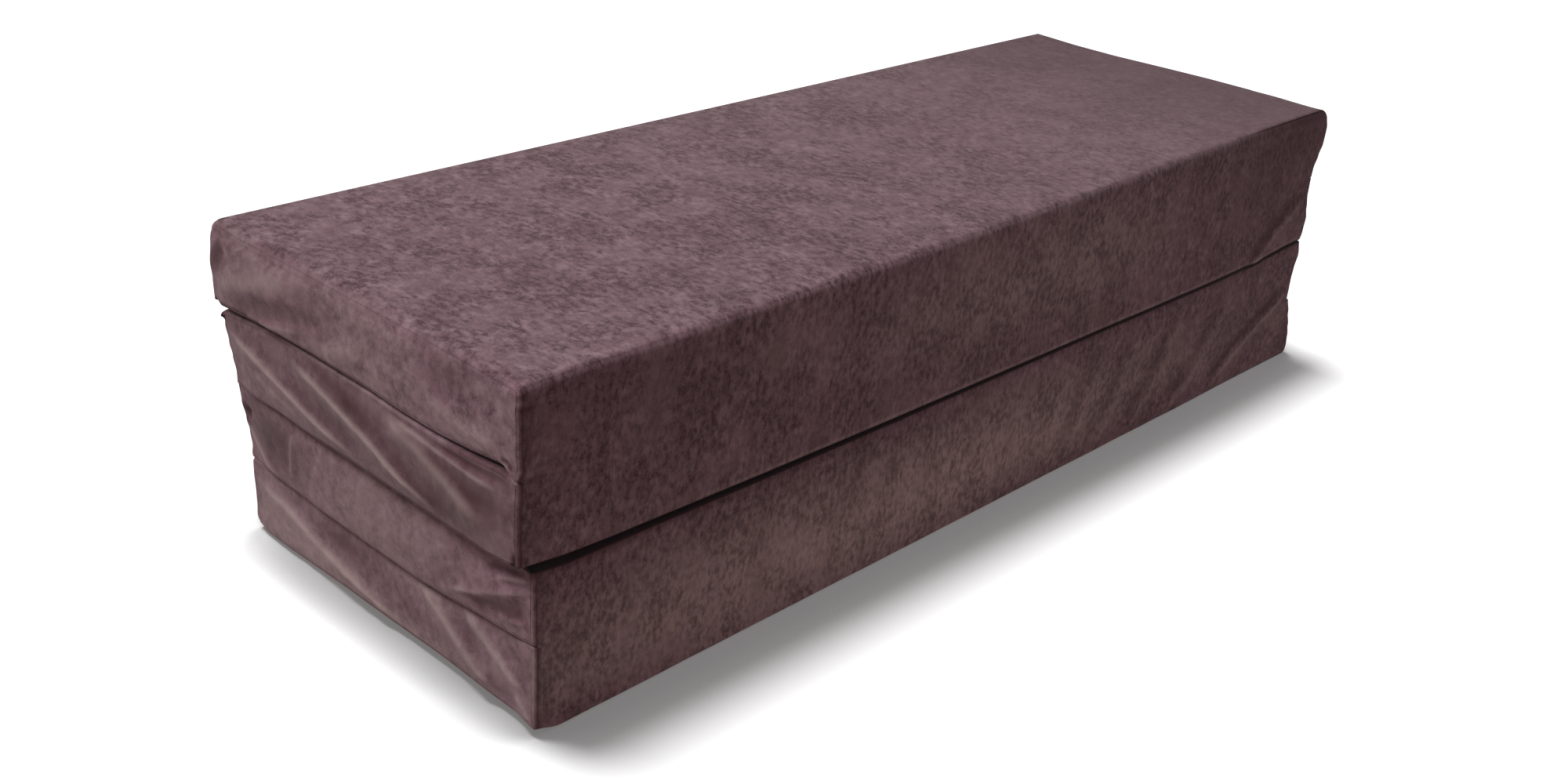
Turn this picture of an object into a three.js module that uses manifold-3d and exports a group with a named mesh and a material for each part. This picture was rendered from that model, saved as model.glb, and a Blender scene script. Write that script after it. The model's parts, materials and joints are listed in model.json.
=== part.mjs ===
// A folding chair bed: four foam sections in zipped velour covers, stacked as a low seat.
// Sizes are in millimetres, x runs along the seat, the front faces -y and z is up.
import * as THREE from "three";
import { mergeVertices } from "three/addons/utils/BufferGeometryUtils.js";
import Module from "manifold-3d";

const wasm = await Module();
wasm.setup();

// The four sections
const sectionLength = 1380;
const sectionDepth = 495;
const sectionPitch = 92;
const faceInset = 0.25;
const edgeRadius = 8;
const hingeRadius = 3;
const endRadius = 6;

// How each section lies in the stack: its slip along the seat, and the swell of its ends and top
const sections = [
  { name: "bottom", slip: 18, leftSwell: 5, rightSwell: 5, crown: 0, broadSide: -1 },
  { name: "lower", slip: 3, leftSwell: 6, rightSwell: 4, crown: 0, broadSide: 1 },
  { name: "upper", slip: -6, leftSwell: 4, rightSwell: 4, crown: 0, broadSide: -1 },
  { name: "top", slip: 0, leftSwell: 14, rightSwell: 9, crown: 3, broadSide: 1 },
];

// Cloth and clearances
const clothThickness = 1.2;
const seamGap = 0.3;
const foamEndInset = 7;
const seamEndInset = 12;

// Zip along the right-hand end of each section
const zipMouth = 14;
const zipSlit = 1.2;
const zipEndInset = 9;
const tapeThickness = 0.8;
const tapeWidth = 12;
const coilWidth = 2.4;
const coilHeight = 2;

// Zip slider
const sliderLength = 11;
const sliderPlate = 1.2;
const sliderFlange = 0.9;
const sliderWebThickness = 0.6;
const sliderWebLength = 4;
const lugLength = 8;
const lugWidth = 1.8;
const lugWall = 1;

// Zip pull
const pullBar = 1.2;
const pullLength = 26;
const pullWidth = 6.4;
const pullArm = 1.4;
const pullCorner = 1.5;

// How finely rounded stretches and swelled faces are divided
const quarterSteps = 3;
const lengthSteps = 10;
const depthSteps = 8;
const panelDepthSteps = 7;
const panelHeightSteps = 4;
const seamSides = 10;
const swellPowerShare = 4;

// Sizes worked out from the ones above
const halfDepth = sectionDepth / 2 - faceInset;
const halfHeight = sectionPitch / 2 - faceInset;
const endFace = sectionLength / 2;
const panelRim = endFace - endRadius;
const tapeFace = endFace - clothThickness - seamGap;
const coilTop = tapeFace + coilHeight;
const sliderTop = coilTop + seamGap + sliderPlate;
const lugHole = pullBar * Math.SQRT2 + seamGap * 2;
const pullAxis = sliderTop + lugHole / 2;
const leftReach = Math.max(...sections.map((s) => endFace + s.leftSwell - s.slip));
const lugTop = sliderTop + lugHole + lugWall;
const rightReach = Math.max(...sections.map((s) => Math.max(lugTop, endFace + s.rightSwell) + s.slip));
const centreShift = (leftReach - rightReach) / 2;
const closedAt = halfDepth - zipEndInset - pullLength;

const materials = {
  velour: new THREE.MeshStandardMaterial({ color: "#6b5559", roughness: 0.9, metalness: 0 }),
  foam: new THREE.MeshStandardMaterial({ color: "#e6dcc0", roughness: 0.95, metalness: 0 }),
  tape: new THREE.MeshStandardMaterial({ color: "#4f3f42", roughness: 0.85, metalness: 0 }),
  metal: new THREE.MeshStandardMaterial({ color: "#8d8782", roughness: 0.35, metalness: 0.9 }),
};

// A closed surface from corner points and triangles, turned so that it faces out
function closedSurface(points, triangles) {
  const volume = triangles.reduce((sum, [a, b, c]) => {
    const side = new THREE.Vector3().crossVectors(points[b], points[c]);
    return sum + points[a].dot(side);
  }, 0);
  const turned = volume < 0 ? triangles.map(([a, b, c]) => [a, c, b]) : triangles;
  const geometry = new THREE.BufferGeometry().setFromPoints(points);
  geometry.setIndex(turned.flat());
  geometry.computeVertexNormals();
  return geometry;
}

// Cloth with an outer and an inner grid of points, closed round its rim
function clothSheet(outer, inner) {
  const rows = outer.length;
  const columns = outer[0].length;
  const points = [...outer.flat(), ...inner.flat()];
  const at = (row, column, layer) => (layer * rows + row) * columns + column;
  const triangles = [];
  const quad = (a, b, c, d) => triangles.push([a, b, c], [a, c, d]);
  for (let row = 1; row < rows; row += 1) {
    for (let column = 1; column < columns; column += 1) {
      for (const layer of [0, 1]) {
        const corners = [
          at(row - 1, column - 1, layer),
          at(row, column - 1, layer),
          at(row, column, layer),
          at(row - 1, column, layer),
        ];
        quad(...(layer ? corners.reverse() : corners));
      }
    }
  }
  for (let row = 1; row < rows; row += 1) {
    quad(at(row, 0, 0), at(row - 1, 0, 0), at(row - 1, 0, 1), at(row, 0, 1));
    const last = columns - 1;
    quad(at(row - 1, last, 0), at(row, last, 0), at(row, last, 1), at(row - 1, last, 1));
  }
  for (let column = 1; column < columns; column += 1) {
    quad(at(0, column - 1, 0), at(0, column, 0), at(0, column, 1), at(0, column - 1, 1));
    const last = rows - 1;
    quad(at(last, column, 0), at(last, column - 1, 0), at(last, column - 1, 1), at(last, column, 1));
  }
  return closedSurface(points, triangles);
}

// A solid through rings of points, closed by a flat face at each end
function loftedSolid(rings) {
  const count = rings[0].length;
  const points = rings.flat();
  const triangles = [];
  for (let ring = 1; ring < rings.length; ring += 1) {
    for (let k = 0; k < count; k += 1) {
      const next = (k + 1) % count;
      const low = (ring - 1) * count;
      const high = ring * count;
      triangles.push([low + k, low + next, high + next], [low + k, high + next, high + k]);
    }
  }
  [0, rings.length - 1].forEach((ring, end) => {
    const start = ring * count;
    for (let k = 1; k < count - 1; k += 1) {
      const fan = [start, start + k, start + k + 1];
      triangles.push(end ? fan : fan.reverse());
    }
  });
  return closedSurface(points, triangles);
}

// Even steps from one value to another, both included
function spaced(from, to, steps) {
  return Array.from({ length: steps + 1 }, (_, k) => from + ((to - from) * k) / steps);
}

// Points with their outward direction along an arc, angles in turns from the back
function arcPoints(centreY, centreZ, radius, fromTurn, toTurn) {
  return spaced(fromTurn, toTurn, quarterSteps).map((turn) => {
    const angle = turn * 2 * Math.PI;
    const out = { y: Math.cos(angle), z: Math.sin(angle) };
    return { y: centreY + radius * out.y, z: centreZ + radius * out.z, out };
  });
}

// The middle points of a flat side between two arcs
function flatPoints(before, after, steps) {
  return spaced(0, 1, steps)
    .slice(1, -1)
    .map((share) => ({
      y: before.y + (after.y - before.y) * share,
      z: before.z + (after.z - before.z) * share,
      out: before.out,
    }));
}

// The round corners of a section's outline, pulled in by a margin
function cornerArcs(margin) {
  const y = halfDepth - margin;
  const z = halfHeight - margin;
  const soft = edgeRadius - margin;
  const hinge = Math.max(hingeRadius - margin, seamGap);
  const half = (seamGap / 2 / hingeRadius / 2) / Math.PI;
  return {
    backBroad: [y - hinge, z - hinge, hinge, 1 / 8 + half, 1 / 4],
    frontBroad: [-y + soft, z - soft, soft, 1 / 4, 1 / 2],
    frontPlain: [-y + hinge, -z + hinge, hinge, 1 / 2, 5 / 8 - half],
    plainFront: [-y + hinge, -z + hinge, hinge, 5 / 8 + half, 3 / 4],
    backPlain: [y - soft, -z + soft, soft, 3 / 4, 1],
    broadBack: [y - hinge, z - hinge, hinge, 0, 1 / 8 - half],
  };
}

// The front cover's outline: one broad side and the front
function frontOutline(margin) {
  const arcs = cornerArcs(margin);
  const start = arcPoints(...arcs.backBroad);
  const turn = arcPoints(...arcs.frontBroad);
  const end = arcPoints(...arcs.frontPlain);
  return [...start, ...flatPoints(start.at(-1), turn[0], depthSteps), ...turn, ...end];
}

// The back cover's outline: the other broad side and the back
function backOutline(margin) {
  const arcs = cornerArcs(margin);
  const start = arcPoints(...arcs.plainFront);
  const turn = arcPoints(...arcs.backPlain);
  const end = arcPoints(...arcs.broadBack);
  return [...start, ...turn, ...end];
}

// A section's upper face falls away from its crown towards its edges
function crownedHeight(section, x, y, z) {
  if (z <= 0 || !section.crown) return z;
  const along = 1 - (x / endFace) ** 2;
  const across = 1 - (y / halfDepth) ** 2;
  const fall = section.crown * (1 - Math.max(along * across, 0));
  return z * (1 - fall / halfHeight);
}

function placed(section, x, y, z) {
  return new THREE.Vector3(x, y, crownedHeight(section, x, y, z * section.broadSide));
}

// A strip of cloth along the whole section
function coverStrip(section, outline) {
  const reach = panelRim - seamGap;
  const steps = section.crown ? lengthSteps : 1;
  const sheet = spaced(-reach, reach, steps).map((x) =>
    outline.map((p) => placed(section, x, p.y, p.z)),
  );
  const lining = spaced(-reach, reach, steps).map((x) =>
    outline.map((p) => {
      const y = p.y - p.out.y * clothThickness;
      const z = p.z - p.out.z * clothThickness;
      return placed(section, x, y, z);
    }),
  );
  return clothSheet(sheet, lining);
}

function foamBlock(section) {
  const margin = clothThickness + seamGap;
  const outline = [...frontOutline(margin), ...backOutline(margin)];
  const reach = endFace - foamEndInset;
  const steps = section.crown ? lengthSteps : 1;
  return loftedSolid(
    spaced(-reach, reach, steps).map((x) => outline.map((p) => placed(section, x, p.y, p.z))),
  );
}

// Steps from a rim into the face behind it, close together where the end turns over
function rimSteps() {
  return Array.from({ length: quarterSteps + 1 }, (_, k) => {
    const angle = ((k / quarterSteps) * Math.PI) / 2;
    return endRadius * (1 - Math.cos(angle));
  });
}

// The radius of the outline's corner in the quarter that a point lies in
function cornerRadiusAt(section, y, z) {
  const broad = z * section.broadSide > 0;
  return broad === y < 0 ? edgeRadius : hingeRadius;
}

// A square grid's point moved onto the rounded outline, with its distance from the rim
function roundedPoint(section, y, z) {
  const radius = cornerRadiusAt(section, y, z);
  const overY = (Math.abs(y) - halfDepth + radius) / radius;
  const overZ = (Math.abs(z) - halfHeight + radius) / radius;
  if (overY <= 0 || overZ <= 0) {
    const rim = Math.min(halfDepth - Math.abs(y), halfHeight - Math.abs(z));
    return { y, z, rim: Math.max(rim, 0) };
  }
  const y2 = overY * Math.sqrt(1 - overZ ** 2 / 2);
  const z2 = overZ * Math.sqrt(1 - overY ** 2 / 2);
  return {
    y: Math.sign(y) * (halfDepth - radius + radius * y2),
    z: Math.sign(z) * (halfHeight - radius + radius * z2),
    rim: radius * Math.max(1 - Math.hypot(y2, z2), 0),
  };
}

// How far an end panel stands out past its rim
function panelStand(rim, swell) {
  const turned = Math.min(rim / endRadius, 1);
  return endRadius * Math.sqrt(1 - (1 - turned) ** 2) + swell;
}

// An end panel over the given heights; its swell is a function of the place on it
function endPanel(section, heights, swellAt, side) {
  const into = rimSteps();
  const inner = spaced(into.at(-1) - halfDepth, halfDepth - into.at(-1), panelDepthSteps);
  const depths = [
    ...into.map((d) => d - halfDepth),
    ...inner.slice(1, -1),
    ...into.map((d) => halfDepth - d).reverse(),
  ];
  const layer = (thickness) =>
    heights.map((height) =>
      depths.map((depth) => {
        const p = roundedPoint(section, depth, height);
        const stand = panelStand(p.rim, swellAt(p.y, p.z));
        const x = panelRim + stand - Math.min(p.rim, thickness);
        const y = p.y * (1 - thickness / halfDepth);
        const z = crownedHeight(section, side * panelRim, p.y, p.z) * (1 - thickness / halfHeight);
        return new THREE.Vector3(side * x, y, z);
      }),
    );
  return clothSheet(layer(0), layer(clothThickness));
}

function leftPanel(section) {
  const into = rimSteps();
  const inner = spaced(into.at(-1) - halfHeight, halfHeight - into.at(-1), panelHeightSteps);
  const heights = [
    ...into.map((d) => d - halfHeight),
    ...inner.slice(1, -1),
    ...into.map((d) => halfHeight - d).reverse(),
  ];
  const swellAt = (y, z) =>
    section.leftSwell *
    Math.max(1 - Math.abs(y / halfDepth) ** swellPowerShare, 0) *
    Math.max(1 - (z / halfHeight) ** 2, 0);
  return endPanel(section, heights, swellAt, -1);
}

// The part of the right-hand panel above (up = 1) or below (up = -1) the zip
function rightPanel(section, up) {
  const lip = zipMouth / 2;
  const into = rimSteps();
  const inner = spaced(lip, halfHeight - into.at(-1), quarterSteps);
  const heights = [...inner.slice(0, -1), ...into.map((d) => halfHeight - d).reverse()];
  const swellAt = (y, z) =>
    section.rightSwell *
    Math.max(1 - Math.abs(y / halfDepth) ** swellPowerShare, 0) *
    Math.max(Math.sin((Math.PI * (Math.abs(z) - lip)) / (halfHeight - lip)), 0);
  return endPanel(
    section,
    heights.map((h) => up * h),
    swellAt,
    1,
  );
}

// An outline in x and z, carried along y and centred
function alongDepth(shape, length) {
  const geometry = new THREE.ExtrudeGeometry(shape, { depth: length, bevelEnabled: false });
  return geometry.translate(0, 0, -length / 2).rotateX(Math.PI / 2);
}

// One tape of the zip with its half of the coil
function zipTape(up) {
  const inner = zipSlit / 2;
  const outline = [
    [tapeFace - tapeThickness, inner],
    [tapeFace - tapeThickness, inner + tapeWidth],
    [tapeFace, inner + tapeWidth],
    [tapeFace, inner + coilWidth],
    [coilTop - coilWidth / 4, inner + coilWidth],
    [coilTop, inner + (coilWidth * 3) / 4],
    [coilTop, inner + coilWidth / 4],
    [coilTop - coilWidth / 4, inner],
  ];
  const points = outline.map(([x, z]) => new THREE.Vector2(x, z * up));
  if (up < 0) points.reverse();
  return alongDepth(new THREE.Shape(points), sectionDepth - 2 * zipEndInset);
}

function box(lowX, highX, width, height, z) {
  const geometry = new THREE.BoxGeometry(highX - lowX, width, height);
  return geometry.translate((lowX + highX) / 2, 0, z);
}

// Solids joined into one
function joined(geometries) {
  const solids = geometries.map((geometry) => {
    const bare = geometry.clone();
    bare.deleteAttribute("normal");
    bare.deleteAttribute("uv");
    const merged = mergeVertices(bare);
    return new wasm.Manifold(
      new wasm.Mesh({
        numProp: 3,
        vertProperties: new Float32Array(merged.attributes.position.array),
        triVerts: new Uint32Array(merged.index.array),
      }),
    );
  });
  const mesh = solids.reduce((whole, solid) => whole.add(solid)).getMesh();
  const geometry = new THREE.BufferGeometry();
  geometry.setAttribute("position", new THREE.BufferAttribute(mesh.vertProperties, 3));
  geometry.setIndex(new THREE.BufferAttribute(mesh.triVerts, 1));
  geometry.computeVertexNormals();
  return geometry;
}

// The arched lug that holds the pull, with its hole along z
function sliderLug() {
  const height = lugTop - sliderTop;
  const shape = new THREE.Shape();
  shape.moveTo(sliderTop - sliderPlate / 2, -lugLength / 2);
  shape.lineTo(sliderTop + height / 2, -lugLength / 2);
  shape.quadraticCurveTo(sliderTop + height, -lugLength / 2, sliderTop + height, -lugLength / 4);
  shape.lineTo(sliderTop + height, lugLength / 4);
  shape.quadraticCurveTo(sliderTop + height, lugLength / 2, sliderTop + height / 2, lugLength / 2);
  shape.lineTo(sliderTop - sliderPlate / 2, lugLength / 2);
  const hole = new THREE.Path();
  hole.moveTo(sliderTop, -lugHole / 2);
  hole.lineTo(sliderTop + lugHole, -lugHole / 2);
  hole.lineTo(sliderTop + lugHole, lugHole / 2);
  hole.lineTo(sliderTop, lugHole / 2);
  hole.closePath();
  shape.holes.push(hole);
  const settings = { depth: lugWidth, bevelEnabled: false, curveSegments: quarterSteps };
  return new THREE.ExtrudeGeometry(shape, settings).translate(0, 0, -lugWidth / 2);
}

// The slider runs on the coil: a plate on each side of the tape, joined through the slit
function zipSlider() {
  const grip = zipSlit / 2 + coilWidth + seamGap;
  const width = 2 * (grip + sliderFlange);
  const backFace = tapeFace - tapeThickness - seamGap;
  const flangeZ = grip + sliderFlange / 2;
  const flangeLow = tapeFace + seamGap;
  const overlap = sliderPlate / 2;
  return joined([
    box(sliderTop - sliderPlate, sliderTop, sliderLength, width, 0),
    box(backFace - sliderPlate, backFace, sliderLength, width, 0),
    box(backFace - overlap, sliderTop - overlap, sliderWebLength, sliderWebThickness, 0),
    box(flangeLow, sliderTop - overlap, sliderLength, sliderFlange, flangeZ),
    box(flangeLow, sliderTop - overlap, sliderLength, sliderFlange, -flangeZ),
    sliderLug(),
  ]);
}

// The pull: a flat tab with a window, whose end bar lies in the slider's lug
function zipPull() {
  const outline = new THREE.Shape();
  const half = pullWidth / 2;
  const low = -pullBar / 2;
  outline.moveTo(-low, half);
  outline.lineTo(pullCorner - pullLength, half);
  outline.quadraticCurveTo(-pullLength, half, -pullLength, half - pullCorner);
  outline.lineTo(-pullLength, pullCorner - half);
  outline.quadraticCurveTo(-pullLength, -half, pullCorner - pullLength, -half);
  outline.lineTo(-low, -half);
  outline.closePath();
  const window = new THREE.Path();
  const windowEnd = low - lugLength / 2 - pullBar;
  window.moveTo(low, pullArm - half);
  window.lineTo(windowEnd, pullArm - half);
  window.lineTo(windowEnd, half - pullArm);
  window.lineTo(low, half - pullArm);
  window.closePath();
  outline.holes.push(window);
  const settings = { depth: pullBar, bevelEnabled: false, curveSegments: quarterSteps };
  const geometry = new THREE.ExtrudeGeometry(outline, settings);
  const turned = new THREE.Matrix4().makeBasis(
    new THREE.Vector3(0, 1, 0),
    new THREE.Vector3(0, 0, 1),
    new THREE.Vector3(1, 0, 0),
  );
  return geometry.translate(0, 0, -pullBar / 2).applyMatrix4(turned);
}

// The sewn fold on which two neighbouring sections turn
function hingeSeam(lower, upper) {
  const corner = hingeRadius * (Math.SQRT2 - 1) + faceInset * Math.SQRT2;
  const radius = corner - seamGap;
  const left = Math.max(lower.slip, upper.slip) - endFace + seamEndInset;
  const right = Math.min(lower.slip, upper.slip) + endFace - seamEndInset;
  const geometry = new THREE.CylinderGeometry(radius, radius, right - left, seamSides);
  return geometry.rotateZ(Math.PI / 2).translate((left + right) / 2, 0, 0);
}

const chairBed = new THREE.Group();
chairBed.position.x = centreShift;

function add(parent, name, geometry, material) {
  const mesh = new THREE.Mesh(geometry, material);
  mesh.name = name;
  parent.add(mesh);
  return mesh;
}

sections.forEach((section, order) => {
  const group = new THREE.Group();
  group.position.set(section.slip, 0, halfHeight + order * sectionPitch);
  chairBed.add(group);
  const piece = (name) => section.name + "_" + name;
  add(group, piece("foam_block"), foamBlock(section), materials.foam);
  add(group, piece("front_cover"), coverStrip(section, frontOutline(0)), materials.velour);
  add(group, piece("back_cover"), coverStrip(section, backOutline(0)), materials.velour);
  add(group, piece("left_end_panel"), leftPanel(section), materials.velour);
  add(group, piece("right_panel_above_zip"), rightPanel(section, 1), materials.velour);
  add(group, piece("right_panel_below_zip"), rightPanel(section, -1), materials.velour);
  add(group, piece("zip_tape_above"), zipTape(1), materials.tape);
  add(group, piece("zip_tape_below"), zipTape(-1), materials.tape);
  const slider = add(group, piece("zip_slider"), zipSlider(), materials.metal);
  slider.position.y = closedAt;
  const pull = add(group, piece("zip_pull"), zipPull(), materials.metal);
  pull.position.set(pullAxis, closedAt, 0);
});

// Fold seams: front, back, front, from the floor up
["lower_fold_seam", "middle_fold_seam", "upper_fold_seam"].forEach((name, order) => {
  const seam = hingeSeam(sections[order], sections[order + 1]);
  const mesh = add(chairBed, name, seam, materials.velour);
  const front = order % 2 === 0;
  const y = sectionDepth / 2;
  mesh.position.set(0, front ? -y : y, (order + 1) * sectionPitch - faceInset);
});

export default chairBed;
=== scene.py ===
import json
import math
import bmesh
import bpy
import numpy as np
from mathutils import Matrix, Vector

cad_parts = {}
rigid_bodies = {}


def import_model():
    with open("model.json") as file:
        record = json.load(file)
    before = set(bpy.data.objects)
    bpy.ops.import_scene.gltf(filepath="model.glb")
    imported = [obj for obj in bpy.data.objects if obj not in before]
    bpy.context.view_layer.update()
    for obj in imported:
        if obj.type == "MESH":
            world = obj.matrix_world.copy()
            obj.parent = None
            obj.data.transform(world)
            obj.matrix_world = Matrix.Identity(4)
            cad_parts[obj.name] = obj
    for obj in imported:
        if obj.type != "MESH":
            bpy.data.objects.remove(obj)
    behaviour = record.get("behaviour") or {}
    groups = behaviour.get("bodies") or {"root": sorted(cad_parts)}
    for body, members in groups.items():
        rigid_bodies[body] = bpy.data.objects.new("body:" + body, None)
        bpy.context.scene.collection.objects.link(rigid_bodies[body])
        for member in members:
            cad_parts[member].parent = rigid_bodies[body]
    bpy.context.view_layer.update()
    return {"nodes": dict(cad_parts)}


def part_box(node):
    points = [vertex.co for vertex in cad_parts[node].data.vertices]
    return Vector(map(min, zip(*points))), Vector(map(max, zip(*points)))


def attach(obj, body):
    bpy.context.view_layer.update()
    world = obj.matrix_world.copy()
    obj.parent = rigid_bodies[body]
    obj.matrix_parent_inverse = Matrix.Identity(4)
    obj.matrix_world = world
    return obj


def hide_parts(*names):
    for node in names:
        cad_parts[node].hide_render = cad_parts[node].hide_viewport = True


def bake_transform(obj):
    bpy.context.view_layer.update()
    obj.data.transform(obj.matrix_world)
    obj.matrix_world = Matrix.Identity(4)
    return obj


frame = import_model()
print("frame loaded:", len(frame["nodes"]), "nodes")

mm = 0.001
halfDepth = 247.25
layerNames = ["bottom", "lower", "upper", "top"]
layerPitch = 92.0
layerHeight = 91.5
foldHeight = {"lower": 91.75, "middle": 183.75, "upper": 275.75}


def newObject(name, data):
    made = bpy.data.objects.new(name, data)
    bpy.context.scene.collection.objects.link(made)
    return made


# Camera

cameraLook = {
    "lens": 39.62,
    "sensor": 36,
    "farthest": 60,
    "place": (-1.50615, -1.2649, 1.0022),
    "right": (0.69277, -0.71794, 0.06807),
    "down": (-0.27212, -0.34765, -0.89727),
    "forward": (0.66785, 0.60308, -0.4362),
}


def makeCamera(look):
    data = bpy.data.cameras.new("camera")
    data.lens = look["lens"]
    data.sensor_width = look["sensor"]
    data.clip_end = look["farthest"]
    cam = newObject("camera", data)
    right, down, forward = (Vector(look[k]).normalized() for k in ("right", "down", "forward"))
    turn = Matrix((right, -down, -forward)).transposed()
    cam.matrix_world = Matrix.Translation(look["place"]) @ turn.to_4x4()
    bpy.context.scene.camera = cam


makeCamera(cameraLook)


# Material helpers

def srgb(r, g, b):
    def one(c):
        c /= 255
        return c / 12.92 if c <= 0.04045 else ((c + 0.055) / 1.055) ** 2.4
    return (one(r), one(g), one(b), 1)


def feed(tree, slot, value):
    # A number, vector or colour is set on the socket itself, and anything else is linked to it.
    if isinstance(value, (int, float, tuple)):
        slot.default_value = value
    else:
        tree.links.new(value, slot)


def addNode(tree, kind, inputs=None, **settings):
    node = tree.nodes.new(kind)
    for key, value in settings.items():
        setattr(node, key, value)
    for key, value in (inputs or {}).items():
        feed(tree, node.inputs[key], value)
    return node


def newMaterial(name):
    mat = bpy.data.materials.new(name)
    mat.use_nodes = True
    tree = mat.node_tree
    return mat, tree, addNode(tree, "ShaderNodeTexCoord").outputs["Object"]


def addNoise(tree, coords, scale, detail=2.0, rough=0.5, distortion=0.0, stretch=None):
    if stretch:
        coords = addNode(tree, "ShaderNodeMapping", {"Vector": coords, "Scale": stretch}).outputs["Vector"]
    return addNode(tree, "ShaderNodeTexNoise", {
        "Vector": coords, "Scale": scale, "Detail": detail, "Roughness": rough,
        "Distortion": distortion}).outputs["Fac"]


def addRange(tree, value, low, high, toLow=0.0, toHigh=1.0, soft=True):
    return addNode(tree, "ShaderNodeMapRange", {
        "Value": value, "From Min": low, "From Max": high, "To Min": toLow, "To Max": toHigh},
        interpolation_type="SMOOTHSTEP" if soft else "LINEAR").outputs["Result"]


def addMath(tree, what, a, b):
    return addNode(tree, "ShaderNodeMath", {0: a, 1: b}, operation=what).outputs[0]


def addMix(tree, factor, a, b):
    return addNode(tree, "ShaderNodeMix", {0: factor, 6: a, 7: b}, data_type="RGBA").outputs[2]


def finishShader(tree, tone, rough, height=None, strength=0.0, depth=0.0, **others):
    # Colour, roughness and bump of a material, and any other inputs by name.
    shader = tree.nodes["Principled BSDF"]
    for key, value in {"Base Color": tone, "Roughness": rough, **others}.items():
        feed(tree, shader.inputs[key], value)
    if height:
        bump = addNode(tree, "ShaderNodeBump", {"Height": height, "Strength": strength, "Distance": depth})
        feed(tree, shader.inputs["Normal"], bump.outputs["Normal"])


# Velour

velourLook = {
    "base": srgb(115, 89, 94),
    "dark": srgb(66, 41, 47),
    "light": srgb(138, 113, 120),
    "grey": srgb(118, 93, 96),
    "plum": srgb(111, 82, 91),
    "blush": srgb(136, 100, 112),
    # The next three colours are painted light and shade: painted highlight on crests, seams and lit patches,
    # painted shade in folds and under edges, and painted shade deep in the gaps and notches.
    "paintedLight": srgb(170, 151, 149),
    "shaded": srgb(60, 30, 33),
    "paintedRecessShade": srgb(15, 9, 10),
    "roughness": 0.88,
    "shader": {"Sheen Weight": 0.12, "Sheen Roughness": 0.6, "Sheen Tint": (0.95, 0.88, 0.92, 1),
               "Specular IOR Level": 0.10},
    "bump": 0.42,
    "bumpDepth": 0.0011,
}


def makeVelour(look):
    mat, tree, coords = newMaterial("mauve velour")
    pile, paintedLightAndTone, napAndPaintedLight, blush = (addNode(tree, "ShaderNodeAttribute", attribute_name=name).outputs["Fac"]
                                for name in ("pile", "paintedLightAndTone", "napAndPaintedLight", "blush"))
    cloud = addNoise(tree, coords, 17, 3, 0.6, 0.2)                    # brushed clouds, 30 to 80 mm
    patch = addNoise(tree, coords, 66, 2, 0.55, 0.2)
    fleck = addNoise(tree, coords, 170, 3, 0.64, 0.0, (1, 0.6, 0.6))   # flecks of turned pile, long across
    stroke = addNoise(tree, coords, 34, 2, 0.5, 0.0, (1, 0.24, 0.24))  # strokes of a hand, across the bed
    fibre = addNoise(tree, coords, 520, 3, 0.75)
    drift = addNoise(tree, coords, 6.5, 2, 0.5)
    fleckAmount = addMath(tree, "MULTIPLY", addRange(tree, fleck, 0.39, 0.65, 0.0, 1.15, soft=False),
                          addRange(tree, cloud, 0.34, 0.60, 0.45, 1.0))
    fleckAmount = addMath(tree, "MULTIPLY", fleckAmount, pile)
    stir = addRange(tree, patch, 0.3, 0.7, -0.07, 0.07, soft=False)
    stir = addMath(tree, "MULTIPLY", stir, addRange(tree, paintedLightAndTone, -0.5, 0.5, 1.5, 1.0))
    paintedLightAndTone = addMath(tree, "ADD", paintedLightAndTone, stir)
    tone = addMix(tree, addRange(tree, drift, 0.35, 0.65), look["grey"], look["plum"])
    tone = addMix(tree, 0.5, look["base"], tone)
    blushAmount = addMath(tree, "MULTIPLY", blush, addRange(tree, patch, 0.3, 0.6, 0.4, 1.0))
    tone = addMix(tree, blushAmount, tone, look["blush"])
    # painted light and shade, with nap patches, laid under the flecks
    tone = addMix(tree, addRange(tree, napAndPaintedLight, 0.0, 1.0, soft=False), tone, look["paintedLight"])
    for value, low, high, most, colour in (
            (patch, 0.40, 0.68, 0.7, "light"), (cloud, 0.44, 0.70, 0.3, "dark"),
            (stroke, 0.45, 0.72, 0.3, "dark")):
        amount = addMath(tree, "MULTIPLY", addRange(tree, value, low, high, 0.0, most), pile)
        tone = addMix(tree, amount, tone, look[colour])
    tone = addMix(tree, fleckAmount, tone, look["dark"])
    tone = addMix(tree, addRange(tree, fibre, 0.42, 0.72, 0.0, 0.35), tone, look["light"])
    # painted highlight and painted shade laid over the flecks, and painted shade deep in the gaps
    for value, low, high, most, colour in (
            (napAndPaintedLight, 0.0, 1.0, 0.3, "paintedLight"), (napAndPaintedLight, 0.0, -1.0, 1.0, "shaded"),
            (paintedLightAndTone, 0.05, 1.0, 0.60, "paintedLight"), (paintedLightAndTone, -0.05, -1.0, 1.0, "shaded"),
            (paintedLightAndTone, -1.0, -2.0, 1.0, "paintedRecessShade")):
        tone = addMix(tree, addRange(tree, value, low, high, 0.0, most, soft=False), tone, look[colour])
    rough = addMath(tree, "ADD", look["roughness"], addMath(tree, "MULTIPLY", fleckAmount, 0.08))
    tufts = addMath(tree, "MULTIPLY", fleck, 0.4)
    height = addMath(tree, "ADD", tufts, addMath(tree, "MULTIPLY", fibre, 0.6))
    finishShader(tree, tone, rough, height, look["bump"], look["bumpDepth"], **look["shader"])
    return mat


velour = makeVelour(velourLook)
print("velour made")


# Small maths

def smooth(low, high, v):
    s = np.clip((v - low) / (high - low), 0, 1)
    return s * s * (3 - 2 * s)


def bell(v, centre, width):
    return np.exp(-((v - centre) / width) ** 2)


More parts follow.
